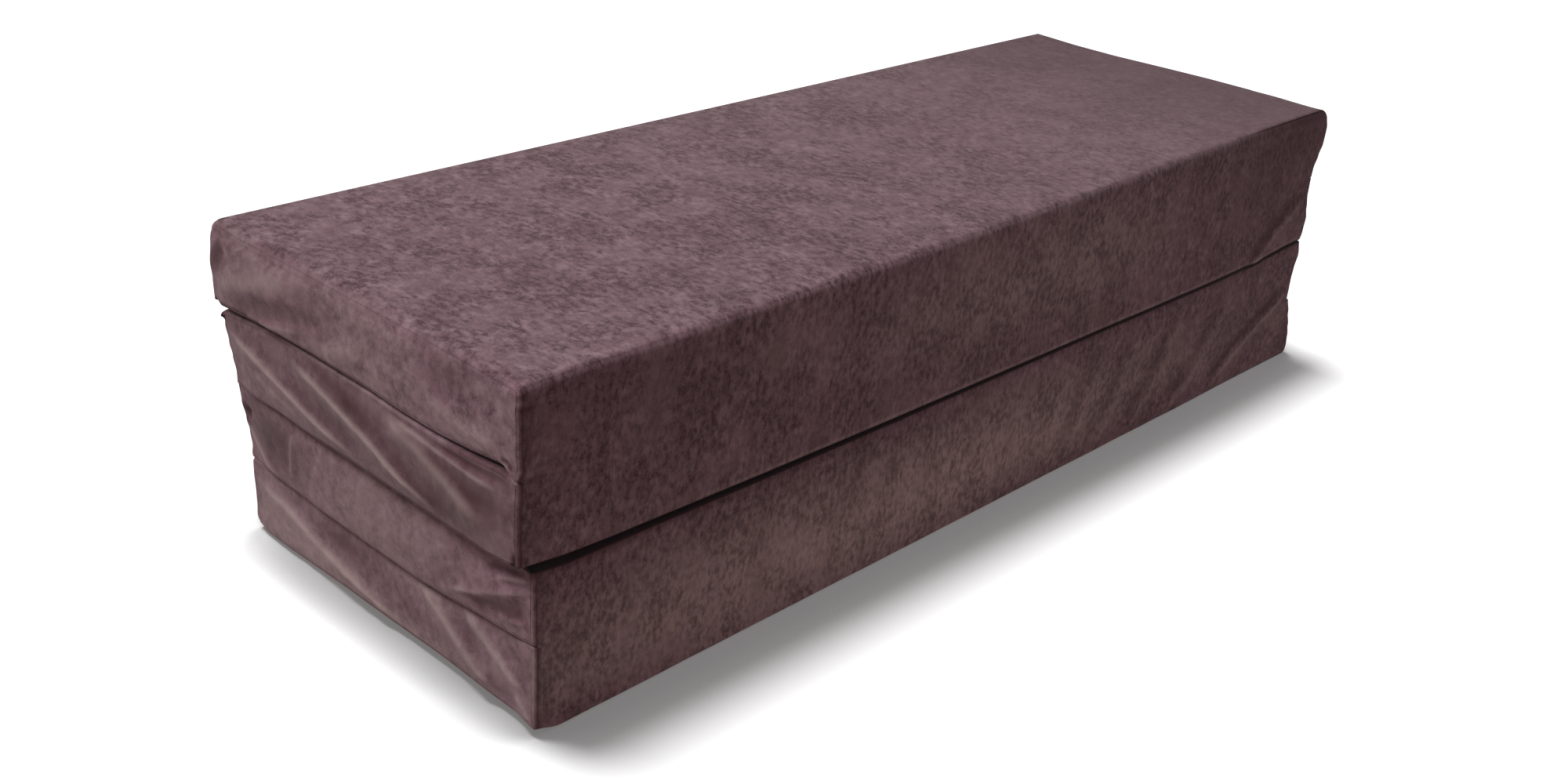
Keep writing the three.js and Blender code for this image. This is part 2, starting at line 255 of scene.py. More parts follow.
def gradedSteps(low, high, fine, coarse, growth, extras=()):
    half = (high - low) / 2
    steps, total = [], 0.0
    step = fine
    while total + step < half:
        steps.append(step)
        total += step
        step = min(step * growth, coarse)
    edge = np.concatenate([[0], np.cumsum(steps)])
    edge = np.append(edge[:-1], half) if half - edge[-1] < coarse * 0.6 else np.append(edge, half)
    places = np.concatenate([low + edge, (high - edge)[::-1][1:]])
    if len(extras):
        far = [p for p in places if min(abs(p - e) for e in extras) > fine * 0.7 or p in (low, high)]
        places = np.array(sorted(far + list(extras)))
    return places


def mixCorners(fu, fv, lowLeft, lowRight, highLeft, highRight):
    fu, fv = fu * fu * (3 - 2 * fu), fv * fv * (3 - 2 * fv)
    return (lowLeft * (1 - fu) + lowRight * fu) * (1 - fv) + (highLeft * (1 - fu) + highRight * fu) * fv


class SoftNoise:
    def __init__(self, seed):
        self.table = np.random.RandomState(seed).rand(32, 32) * 2 - 1

    def at(self, u, v):
        iu, iv = np.floor(u).astype(int), np.floor(v).astype(int)
        corners = [self.table[(iu + a) % 32, (iv + b) % 32] for b in (0, 1) for a in (0, 1)]
        return mixCorners(u - iu, v - iv, *corners)


def lineDistance(u, v, points):
    best = np.full(u.shape, 1e9)
    along = np.zeros(u.shape)
    above = np.zeros(u.shape, bool)
    points = np.array(points, float)
    lengths = np.hypot(*(points[1:] - points[:-1]).T)
    starts = np.concatenate([[0], np.cumsum(lengths)])
    for i, length in enumerate(lengths):
        a, b = points[i], points[i + 1]
        t = np.clip(((u - a[0]) * (b[0] - a[0]) + (v - a[1]) * (b[1] - a[1])) / length ** 2, 0, 1)
        d = np.hypot(u - a[0] - t * (b[0] - a[0]), v - a[1] - t * (b[1] - a[1]))
        near = d < best
        best = np.where(near, d, best)
        along = np.where(near, (starts[i] + t * length) / starts[-1], along)
        side = ((b[0] - a[0]) * (v - a[1]) - (b[1] - a[1]) * (u - a[0])) * np.sign(b[0] - a[0] + 1e-9)
        above = np.where(near, side > 0, above)
    return best, along, above


def creases(u, v, strokes):
    # Relief in mm and painted light and shade for the creases, light above zero and dark below, for a list of
    # drawn creases.
    relief, paintedLightAndTone = np.zeros(u.shape), np.zeros(u.shape)
    for height, width, crest, light, dark, points in strokes:
        d, along, above = lineDistance(u, v, points)
        ends = smooth(0, 0.2, along) * smooth(0, 0.2, 1 - along) * 0.9 + 0.1
        spread = np.where(above, 0.75, 1.35) * width
        tent = np.exp(-(np.sqrt(d * d + 1.2) - 1.1) / (0.8 * spread))
        relief += height * ends * ((1 - crest) * np.exp(-(d / spread) ** 2) + crest * tent)
        signed = np.where(above, d, -d)
        core, halo = np.exp(-(signed / (0.42 * width)) ** 2), np.exp(-(signed / width) ** 2)
        paintedLightAndTone += light * ends * (0.65 * core + 0.35 * halo)
        away = (1.7 if height > 0 else 0) * width           # a ridge has its shade above it, a hollow in it
        paintedLightAndTone -= dark * ends * np.exp(-((signed - away) / (1.15 * width)) ** 2)
    return relief, paintedLightAndTone


def softPatches(u, v, patches):
    # Broad soft patches: amount, centre, reach. They carry nap, painted light and painted shade, and the
    # blush.
    paintedLightAndTone = np.zeros(u.shape)
    for amount, centreU, centreV, reachU, reachV in patches:
        paintedLightAndTone += amount * np.exp(-((u - centreU) / reachU) ** 2 - ((v - centreV) / reachV) ** 2)
    return paintedLightAndTone


def gridValue(table, us, vs, u, v):
    table = np.array(table, float)
    iu = np.clip(np.searchsorted(us, u) - 1, 0, len(us) - 2)
    iv = np.clip(np.searchsorted(vs, v) - 1, 0, len(vs) - 2)
    us, vs = np.array(us, float), np.array(vs, float)
    fu = np.clip((u - us[iu]) / (us[iu + 1] - us[iu]), 0, 1)
    fv = np.clip((v - vs[iv]) / (vs[iv + 1] - vs[iv]), 0, 1)
    return mixCorners(fu, fv, *[table[iv + b, iu + a] for b in (0, 1) for a in (0, 1)])


# Cushions

# Steps are the finest, the coarsest and their growth from the edges to the middle.
cushionMesh = {"endOut": 7, "endRadius": 4.0, "endSteps": 6, "lengthSteps": (2.4, 8.4, 1.14),
               "depthSteps": (1.2, 3.4, 1.22), "heightSteps": (1.1, 2.1, 1.16),
               "zipMouth": 7.0, "zipEnd": 238.5}

# Corners of the cross-section: front bottom, back bottom, back top, front top.
cornerRadius = {
    "bottom": (4.5, 6, 7, 2.2),
    "lower": (2.2, 7, 2.2, 4),
    "upper": (4, 2.2, 6, 2.2),
    "top": (2.2, 8, 9, 9),
}

# How far each end stands out from its end plane, front to back across, low to high down.
depthStops = [-247, -205, -80, 60, 190, 247]
heightStops = [0, 12, 30, 46, 68, 92]
leftReach = {
    "bottom": [[9, 3, 0, 1, 3, 2], [10, 6, 4, 4, 5, 3], [10.5, 8, 6, 6, 5, 2], [10.5, 8, 7, 6, 5, 2],
               [10.5, 7, 5, 4, 4, 3], [10.5, 6, 2, 2, 3, 3]],
    "lower": [[-3.5, -3, -3, -3, -6, -11], [-3, -2, -1, 0, -6, -13], [-3, -1, 1, 2, -5, -11],
              [-3, -2, 1, 2, -4, -8], [-3, -4, -1, 1, -3, -4], [-2.5, -4, -4, -3, -2, -2]],
    "upper": [[6, 5, 4, 2, -4, -10], [6, 6, 5, 3, -3, -10], [6, 7, 6, 4, -1, -7],
              [6, 6, 6, 4, 1, -4], [5.5, 5, 4, 3, 1, -1], [4, 3, 2, 1, -1, -1]],
    "top": [[12, 8.5, 7, 8, 11, 11], [9, 10, 11, 13, 15, 14], [10, 12, 13, 15, 16, 14.5],
            [10, 12, 13, 15, 18, 16], [10, 11, 12, 14, 17, 14], [10, 9, 9, 11, 13, 10]],
}
rightReach = {
    "bottom": [[4, 3, 3, 3, 3, 2], [7, 6, 5, 5, 5, 4], [5, 5, 4, 4, 4, 4], [0, 0.3, 0.3, 0.3, 0.3, 1],
               [-8, -3, 1, 2, 2, 0], [-17, -9, -2, 0, 0, 0]],
    "lower": [[-5, -3, -2, -2, -3, -4], [-5, 0, 2, 2, 1, -2], [-5, 1, 2, 3, 2, 0],
              [-3, 0.3, 0.3, 0.3, 0.3, 0], [2.5, 2, 3, 3, 2, -1], [-3, -2, -1, -1, -2, -3]],
    "upper": [[6, 3, 2, 2, 2, 0], [9, 6, 4, 3, 3, 1], [11, 5, 3, 3, 3, 2], [6, 0.5, 0.3, 0.3, 0.3, 1],
              [1, 2, 3, 3, 2, 0], [1, 1, 1, 1, 0, -1]],
    "top": [[-5, -3, -1, 0, 0, 0], [-4, 0, 2, 3, 3, 2], [3, 2, 3, 4, 4, 3], [10, 1, 0.5, 0.5, 0.5, 2],
            [11, 8, 7, 7, 7, 6], [8, 6, 5, 5, 5, 4]],
}

# Where the edges of two end panels meet: rise of the line, and how far it stands open, from front to back.
leftEdges = [
    {"under": "", "over": "bottom", "across": [-247, -205, -120, 0, 120, 247],
     "lift": [8, 6.5, 5, 4, 3.5, 3], "open": [0, 0, 0, 0, 0, 0]},
    {"under": "bottom", "over": "lower", "across": [-247, -205, -160, -120, -70, 40, 247],
     "lift": [11, 8, 5, 1, -2.5, -2.5, -2], "open": [0, 0, 0, 0, 0, 0, 0]},
    {"under": "lower", "over": "upper", "across": [-247, -215, -80, 26, 140, 210, 247],
     "lift": [0, 0, 0, 0, 0, 0, 0], "open": [2, 3.5, 4.4, 3.4, 1, -3, -4]},
    {"under": "upper", "over": "top",
     "across": [-247, -238, -230, -217, -175, -135, -110, -72, -20, 100, 150, 225, 247],
     "lift": [1, 1.8, 3.2, 3.4, -0.8, -2.6, -2.8, -2.5, 0, 1, 0, -7, -9],
     "open": [0.5, 0.8, 2.0, 2.8, 2.2, 1.2, 0.7, 0.3, 0.3, 0.3, 0.3, 0.6, 1]},
]

# Creases: height, half width, share of sharp crest, painted light on the crest, painted shade above it, line
# across and up.
leftCreases = {
    "top": [
        (2.4, 9, 0.4, 0.5, 0.0, [(252, 332), (242, 344), (226, 355)]),
        (-3.0, 13, 0.0, 0.0, 0.85, [(244, 314), (234, 334), (218, 350)]),
        (4.0, 20, 0.1, 0.5, 0.0, [(240, 296), (195, 314), (140, 336), (82, 345)]),
        (-2.6, 13, 0.0, 0.0, 0.5, [(230, 284), (178, 296), (140, 305), (101, 315), (63, 320), (20, 328)]),
        (2.6, 8, 0.5, 0.45, 0.0, [(165, 281), (120, 292), (80, 301)]),
        (2.4, 14, 0.2, 0.35, 0.0, [(48, 294), (-25, 320)]),
        (1.6, 10, 0.2, 0.2, 0.0, [(20, 342), (-60, 351), (-130, 352)]),
        (2.4, 12, 0.2, 0.35, 0.25, [(-105, 322), (-160, 303), (-222, 296)]),
        (-2.0, 3.5, 0.2, 0.0, 1.0, [(-219, 285), (-230, 287), (-238, 282)]),
        (1.6, 2.5, 0.5, 0.8, 0.0, [(-222, 278), (-232, 280), (-237, 276)]),
    ],
    "upper": [
        (4.2, 8, 0.75, 0.95, 0.30,
         [(246, 250), (197, 240), (163, 231), (120, 221), (82, 212), (43, 203), (0, 192)]),
        (4.6, 8, 0.75, 1.0, 0.60,
         [(122, 259), (70, 252), (40, 245), (5, 236), (-33, 225), (-72, 211), (-130, 192)]),
        (4.4, 13, 0.45, 0.62, 0.35, [(-40, 268), (-90, 255), (-125, 245), (-160, 232), (-205, 215)]),
        (2.4, 5, 0.8, 0.85, 0.3, [(-60, 269), (-110, 265), (-153, 261), (-222, 255)]),
        (-1.4, 4.0, 0.2, 0.0, 0.7, [(-120, 272.5), (-163, 269.5), (-200, 267.5), (-229, 268.5), (-241, 275)]),
        (2.0, 7, 0.6, 0.35, 0.0, [(200, 218), (150, 207), (104, 198)]),
        (1.8, 6, 0.6, 0.3, 0.0, [(60, 256), (20, 250), (-20, 239)]),
    ],
    "lower": [
        (-9.0, 9, 0.0, 0.0, 1.0, [(252, 158), (238, 153), (226, 149)]),
        (3.6, 6, 0.75, 0.85, 0.0, [(247, 131), (224, 118), (197, 102), (172, 89)]),
        (2.6, 6, 0.5, 0.45, 0.40, [(152, 104), (146, 135), (140, 165)]),
        (-2.6, 12, 0.1, 0.0, 0.8, [(-150, 100), (-203, 126), (-243, 140)]),
        (2.6, 6, 0.4, 0.55, 0.0, [(-120, 106), (-170, 126), (-203, 141), (-241, 157)]),
        (-2.2, 5, 0.3, 0.0, 0.8, [(-170, 155), (-203, 165), (-243, 178)]),
        (2.2, 4, 0.6, 0.45, 0.0, [(-190, 152), (-215, 161), (-243, 170)]),
        (-1.2, 2.5, 0.3, 0.0, 0.5, [(-205, 152), (-243, 164)]),
        (2.0, 5, 0.7, 0.3, 0.2, [(-176, 108), (-222, 115), (-243, 124)]),
    ],
    "bottom": [
        (4.2, 11, 0.65, 0.95, 0.3,
         [(244, 68), (178, 60), (140, 50), (101, 40), (63, 31), (16, 22), (-50, 10)]),
        (4.4, 9, 0.7, 0.75, 0.15, [(-58, 86), (-103, 64), (-140, 43), (-165, 28), (-188, 12)]),
        (4.2, 9, 0.7, 0.75, 0.3, [(-130, 85), (-165, 73), (-200, 58), (-236, 42)]),
        (2.4, 5, 0.7, 0.9, 0.0, [(-220, 38), (-232, 24), (-241, 8)]),
    ],
}
leftBlush = [(0.8, -165, 300, 62, 26), (0.5, -90, 340, 50, 20), (0.45, 40, 318, 60, 16),
             (0.5, -190, 150, 60, 24), (0.4, -40, 60, 50, 16)]
frontBlush = [(0.7, -420, 372, 330, 14), (0.45, -650, 150, 60, 60), (0.35, -300, 40, 220, 30)]
# Lighter and darker patches on the left ends, mostly painted light and shade of the folds with some nap:
# amount, centre across and up, reach across and up.
leftNapAndPaintedLight = {
    "top": [(-0.14, 150, 322, 90, 34), (0.10, -95, 330, 30, 20), (-0.34, -155, 346, 34, 20),
            (0.36, -180, 298, 50, 20), (0.16, -30, 310, 60, 30)],
    "upper": [(-0.42, 0, 230, 400, 90), (-0.42, 8, 250, 36, 15), (-0.35, -112, 248, 44, 11),
              (-0.2, 50, 222, 60, 9), (0.25, 190, 215, 60, 25), (-0.5, -125, 206, 52, 14),
              (-0.3, -190, 240, 40, 10), (-0.28, -180, 226, 60, 34)],
    "lower": [(-1.0, 184, 138, 54, 34), (0.12, 60, 130, 90, 40), (0.1, -60, 140, 60, 30),
              (-0.20, -190, 128, 50, 22)],
    "bottom": [(-0.8, 72, 66, 44, 14), (-0.4, 0, 58, 60, 16), (-0.5, -70, 42, 50, 14),
               (-0.55, -142, 64, 22, 16), (-0.45, -188, 26, 26, 12), (-0.3, -230, 66, 20, 20),
               (0.26, 160, 26, 90, 24), (0.24, -40, 40, 240, 60)],
}

rightCreases = {
    "top": [(2.6, 12, 0.3, 0.35, 0.2, [(225, 296), (140, 288), (20, 296)]),
            (2.2, 12, 0.3, 0.3, 0.2, [(-60, 350), (-150, 344), (-230, 352)])],
    "upper": [(2.8, 10, 0.4, 0.4, 0.2, [(225, 252), (140, 260), (40, 250)]),
              (2.6, 10, 0.4, 0.4, 0.2, [(-80, 206), (-170, 212), (-232, 202)])],
    "lower": [(2.8, 10, 0.4, 0.4, 0.2, [(230, 118), (150, 110), (50, 121)]),
              (2.6, 10, 0.4, 0.4, 0.2, [(-50, 160), (-150, 167), (-228, 157)])],
    "bottom": [(2.8, 10, 0.4, 0.4, 0.2, [(225, 66), (140, 75), (50, 67)]),
               (2.6, 10, 0.4, 0.4, 0.2, [(-30, 20), (-140, 28), (-225, 21)])],
}

frontCreases = [
    (3.0, 8, 0.6, 0.75, 0.8, [(534, 174), (564, 190), (603, 213), (641, 236), (666, 250)]),
    (3.2, 8, 0.6, 0.9, 0.8, [(478, 2), (532, 38), (604, 74), (680, 108)]),
    (1.2, 14, 0.2, 0.40, 0.34, [(146, 2), (172, 54), (196, 110), (204, 160)]),
    (1.4, 14, 0.2, 0.50, 0.42, [(205, 2), (250, 62), (280, 125), (286, 172)]),
    (1.4, 14, 0.2, 0.50, 0.42, [(282, 2), (330, 45), (368, 105), (386, 170)]),
    (1.4, 14, 0.2, 0.45, 0.42, [(372, 2), (430, 38), (482, 95), (510, 168)]),
    (-0.8, 5, 0.3, 0.0, 0.35, [(-712, 275.5), (-690, 276), (-668, 279)]),
    (-0.5, 5, 0.3, 0.0, 0.14, [(-660, 277), (-598, 278)]),
    (-0.8, 3.5, 0.3, 0.0, 0.6, [(-712, 350), (-694, 346), (-676, 345)]),
    (-0.7, 3, 0.3, 0.0, 0.5, [(-712, 340), (-696, 337)]),
    (0.7, 3.5, 0.5, 0.3, 0.3, [(-712, 358), (-696, 353), (-684, 352)]),
]
backCreases = [(2.4, 12, 0.3, 0.35, 0.2, [(-690, 300), (-640, 318), (-570, 328)]),
               (2.2, 12, 0.3, 0.35, 0.2, [(540, 40), (600, 50), (660, 70)]),
               (2.0, 12, 0.3, 0.35, 0.2, [(-660, 120), (-610, 140), (-560, 150)]),
               (2.0, 12, 0.3, 0.35, 0.2, [(560, 238), (620, 226), (670, 206)])]
# Lighter and darker patches on the front: the broad light band low down is painted light from the floor
# below, the rest is painted light, painted shade and nap: amount, centre along and up, reach along and up.
frontNapAndPaintedLight = [(0.95, -190, 70, 560, 62), (0.34, 60, 285, 330, 66), (-0.2, -640, 345, 150, 40),
                (-0.2, -640, 8, 130, 26), (-0.25, 200, 6, 360, 22), (-0.1, 420, 120, 260, 60),
                (-0.42, 560, 300, 180, 80), (-0.22, 300, 40, 60, 30), (-0.22, 410, 40, 50, 26),
                (-0.36, 650, 352, 90, 30)]

# The open gap along the front: rise of the upper and of the lower lip, from left to right.
frontGap = {
    "along": [-712, -690, -675, -650, -600, -500, -400, -200, 0, 200, 400, 560, 640, 690],
    "upper": [5, 4.5, 3.8, 1.3, -0.7, -2.2, -3.7, -5.7, -6.2, -6.8, -8, -8.2, -3, -1.5],
    "lower": [1.8, 0.8, -2.4, -4.8, -5.2, -5.6, -6.8, -7.6, -7.4, -7.5, -8.7, -8.9, -4.4, -3.0],
}

# How far the top surface stands higher at its right end, from front to back.
topRise = {"across": [-247, -185, -145, -65, 15, 95, 170, 247],
           "rise": [6.5, 5, 4.2, 3.6, 1.6, -0.4, -0.5, 1.2]}

waves = SoftNoise(7)
puckers = SoftNoise(23)


def frontOffset(x, z):
    # Depth of the front cloth behind the front plane: always inward, and one rule for both halves of a fold.
    slow = waves.at(x / 95 + 3, z / 70 + 11) * 0.5 + waves.at(x / 41 + 9, z / 120 + 5) * 0.35
    drag = creases(x, z, frontCreases)[0]
    room = 0.55 + 2.4 * smooth(430, 560, x) * smooth(716, 690, x)
    return np.maximum(room + 0.45 * slow - drag, 0.15)


def backOffset(x, z):
    slow = waves.at(x / 88 + 17, z / 66 + 2) * 0.6 + waves.at(x / 37 + 1, z / 140 + 8) * 0.4
    tug = creases(x, z, backCreases)[0]
    return np.maximum(1.6 + 0.5 * slow - tug, 0.15)


def cushionGrid(name):
    start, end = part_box(name + "_foam_block")
    low = layerNames.index(name) * layerPitch
    return start.x / mm - cushionMesh["endOut"], end.x / mm + cushionMesh["endOut"], low, low + layerHeight


def crossLoop(ys, zs, radii):
    # Each loop point is a mix of two corner arcs, so a ring can be drawn at any inset.
    signs = [(-1, 0), (1, 0), (1, 1), (-1, 1)]
    rows = []
    def side(values, low, high, a, b, normal, along):
        for v in values[:-1]:
            s, e = v - low, high - v
            if s < radii[a]:
                turn = math.pi / 4 * (1 - s / radii[a])
                n = np.array(normal) * math.cos(turn) - np.array(along) * math.sin(turn)
                rows.append((a, a, 0.0, n[0], n[1]))
            elif e < radii[b]:
                turn = math.pi / 4 * (1 - e / radii[b])
                n = np.array(normal) * math.cos(turn) + np.array(along) * math.sin(turn)
                rows.append((b, b, 0.0, n[0], n[1]))
            else:
                rows.append((a, b, (s - radii[a]) / (high - low - radii[a] - radii[b]), normal[0], normal[1]))
    side(ys, ys[0], ys[-1], 0, 1, (0, -1), (1, 0))
    side(zs, zs[0], zs[-1], 1, 2, (1, 0), (0, 1))
    side(-ys[::-1], ys[0], ys[-1], 2, 3, (0, 1), (-1, 0))
    side(-zs[::-1], -zs[-1], -zs[0], 3, 0, (-1, 0), (0, -1))
    cols = list(zip(*rows))
    a, b = np.array(cols[0]), np.array(cols[1])
    p, n = np.array(cols[2]), np.stack([cols[3], cols[4]], 1)
    def ring(inset):
        centres, rs = [], []
        for (sy, sz), r in zip(signs, radii):
            kept = max(r - inset, 0.3 * r + 0.2)
            y = sy * (halfDepth - inset - kept)
            z = zs[-1] - inset - kept if sz else zs[0] + inset + kept
            centres.append((y, z))
            rs.append(kept)
        centres, rs = np.array(centres), np.array(rs)
        return ((1 - p)[:, None] * (centres[a] + rs[a][:, None] * n)
                + p[:, None] * (centres[b] + rs[b][:, None] * n))
    return ring


def makeCushionMesh(name, sets):
    left, right, low, high = cushionGrid(name)
    middle = (low + high) / 2
    mouth = sets["zipMouth"]
    ys = gradedSteps(-halfDepth, halfDepth, *sets["depthSteps"],
                     [s * (sets["zipEnd"] + e) for s in (-1, 1) for e in (-1.2, 0.2, 1.6)])
    zs = gradedSteps(low, high, *sets["heightSteps"],
                     [middle + s * (mouth + e) for s in (-1, 1) for e in (-0.8, 0.1, 1.0, 2.4)])
    ny, nz = len(ys), len(zs)
    ring = crossLoop(ys, zs, cornerRadius[name])
    r = sets["endRadius"]
    turns = np.linspace(0, math.pi / 2, sets["endSteps"] + 1)
    inner = gradedSteps(left + r, right - r, *sets["lengthSteps"])
    stations = [(left + r * (1 - math.sin(t)), r * (1 - math.cos(t))) for t in turns[::-1]]
    stations += [(x, 0.0) for x in inner[1:-1]]
    stations += [(right - r * (1 - math.sin(t)), r * (1 - math.cos(t))) for t in turns]
    count = 2 * (ny + nz) - 4
    points, flat = [], []
    yu, zu = (ys + halfDepth) / (2 * halfDepth), (zs - low) / (high - low)
    loopFlat = np.concatenate([
        np.stack([ys[:-1], np.full(ny - 1, low)], 1), np.stack([np.full(nz - 1, halfDepth), zs[:-1]], 1),
        np.stack([ys[::-1][:-1], np.full(ny - 1, high)], 1),
        np.stack([np.full(nz - 1, -halfDepth), zs[::-1][:-1]], 1)])
    def standing(x, places):
        return np.column_stack([np.full(len(places), x), places])
    for x, inset in stations:
        points.append(standing(x, ring(inset)))
        flat.append(standing(x, loopFlat))
    capLoop = ring(r)
    index = np.arange(count)
    bottomIds, backIds = index[:ny], index[ny - 1:ny + nz - 1]
    topIds = index[ny + nz - 2:2 * ny + nz - 2][::-1]
    frontIds = np.concatenate([index[2 * ny + nz - 3:], index[:1]])[::-1]
    a, b = capLoop[bottomIds], capLoop[topIds]
    c, d = capLoop[frontIds], capLoop[backIds]
    ku, kv = yu[None, :, None], zu[:, None, None]
    cap = ((1 - kv) * a[None] + kv * b[None] + (1 - ku) * c[:, None] + ku * d[:, None]
           - (1 - ku) * (1 - kv) * a[0] - ku * (1 - kv) * a[-1] - (1 - ku) * kv * b[0] - ku * kv * b[-1])
    inside = cap[1:-1, 1:-1].reshape(-1, 2)
    insideFlat = np.stack(np.meshgrid(ys[1:-1], zs[1:-1]), -1).reshape(-1, 2)
    for x in (left, right):
        points.append(standing(x, inside))
        flat.append(standing(x, insideFlat))
    n = len(stations)
    faces = []
    loopNext = np.roll(index, -1)
    for i in range(n - 1):
        s, t = i * count, (i + 1) * count
        faces.append(np.stack([s + index, t + index, t + loopNext, s + loopNext], 1))
    for end, base, first in ((0, n * count, 0), (1, n * count + len(inside), (n - 1) * count)):
        grid = np.zeros((nz, ny), int)
        grid[1:-1, 1:-1] = base + np.arange(len(inside)).reshape(nz - 2, ny - 2)
        grid[0], grid[-1] = first + bottomIds, first + topIds
        grid[:, 0], grid[:, -1] = first + frontIds, first + backIds
        quad = np.stack([grid[:-1, :-1], grid[:-1, 1:], grid[1:, 1:], grid[1:, :-1]], -1).reshape(-1, 4)
        faces.append(quad if end else quad[:, ::-1])
    return np.concatenate(points), np.concatenate(flat), np.concatenate(faces), (left, right, low, high)


def roundEdge(a, b, towardA, towardB, edgeA, edgeB, radius):
    # Draws the corner of the box in to a larger radius, seen along its edge.
    da, db = (a - edgeA) * towardA + radius, (b - edgeB) * towardB + radius
    far = np.hypot(np.maximum(da, 0), np.maximum(db, 0))
    hit = (da > 0) & (db > 0) & (far > radius)
    pull = np.where(hit, radius / np.maximum(far, 1e-6), 1)
    return (np.where(hit, edgeA + towardA * (da * pull - radius), a),
            np.where(hit, edgeB + towardB * (db * pull - radius), b))


def edgeShift(name, along, x, y, z, limits):
    # Rise of the edges that meet at the left end and at the front gap, and the painted shade inside the slit.
    left, _, low, high = limits
    shift, paintedSlitShade = np.zeros(x.shape), np.zeros(x.shape)
    for edges in leftEdges:
        for piece, gap, opens in ((edges["over"], z - low, 1), (edges["under"], high - z, 0)):
            if piece == name:
                gape = np.interp(y, edges["across"], edges["open"])
                rise = np.interp(y, edges["across"], edges["lift"]) + gape * opens
                shift += smooth(30, 0, x - left) * smooth(34, 0, gap) * rise
                paintedSlitShade += smooth(0.8, 0.2, gap) * smooth(16, 8, x - left) * smooth(0.8, 3, gape)
    if name in ("upper", "lower"):
        fromGap = z - low if name == "upper" else high - z
        lip = np.interp(along, frontGap["along"], frontGap[name])
        shift += smooth(46, 0, y + halfDepth) * smooth(44, 0, fromGap) * lip
    return shift, paintedSlitShade


endSwell = {"fade": 48, "reliefFade": 5, "seamPlace": 1.3, "seamWidth": 1.1, "seamHeight": 0.45,
            "seamPucker": 0.22, "seamLight": 0.45}
zipMouth = {"across": (7.9, 6.9), "along": (239.6, 238.2), "depth": 3.1, "lip": 0.5, "lipPlace": 9.2}
topShape = {"rise": 0.6, "crown": 1.0, "edgeDrop": 1.0, "edgeReach": 11, "wave": 0.5, "leftRound": 13,
            "backRound": 14, "tuckRound": 7, "tuckMore": 4, "rightRound": 20, "rightMore": 10}


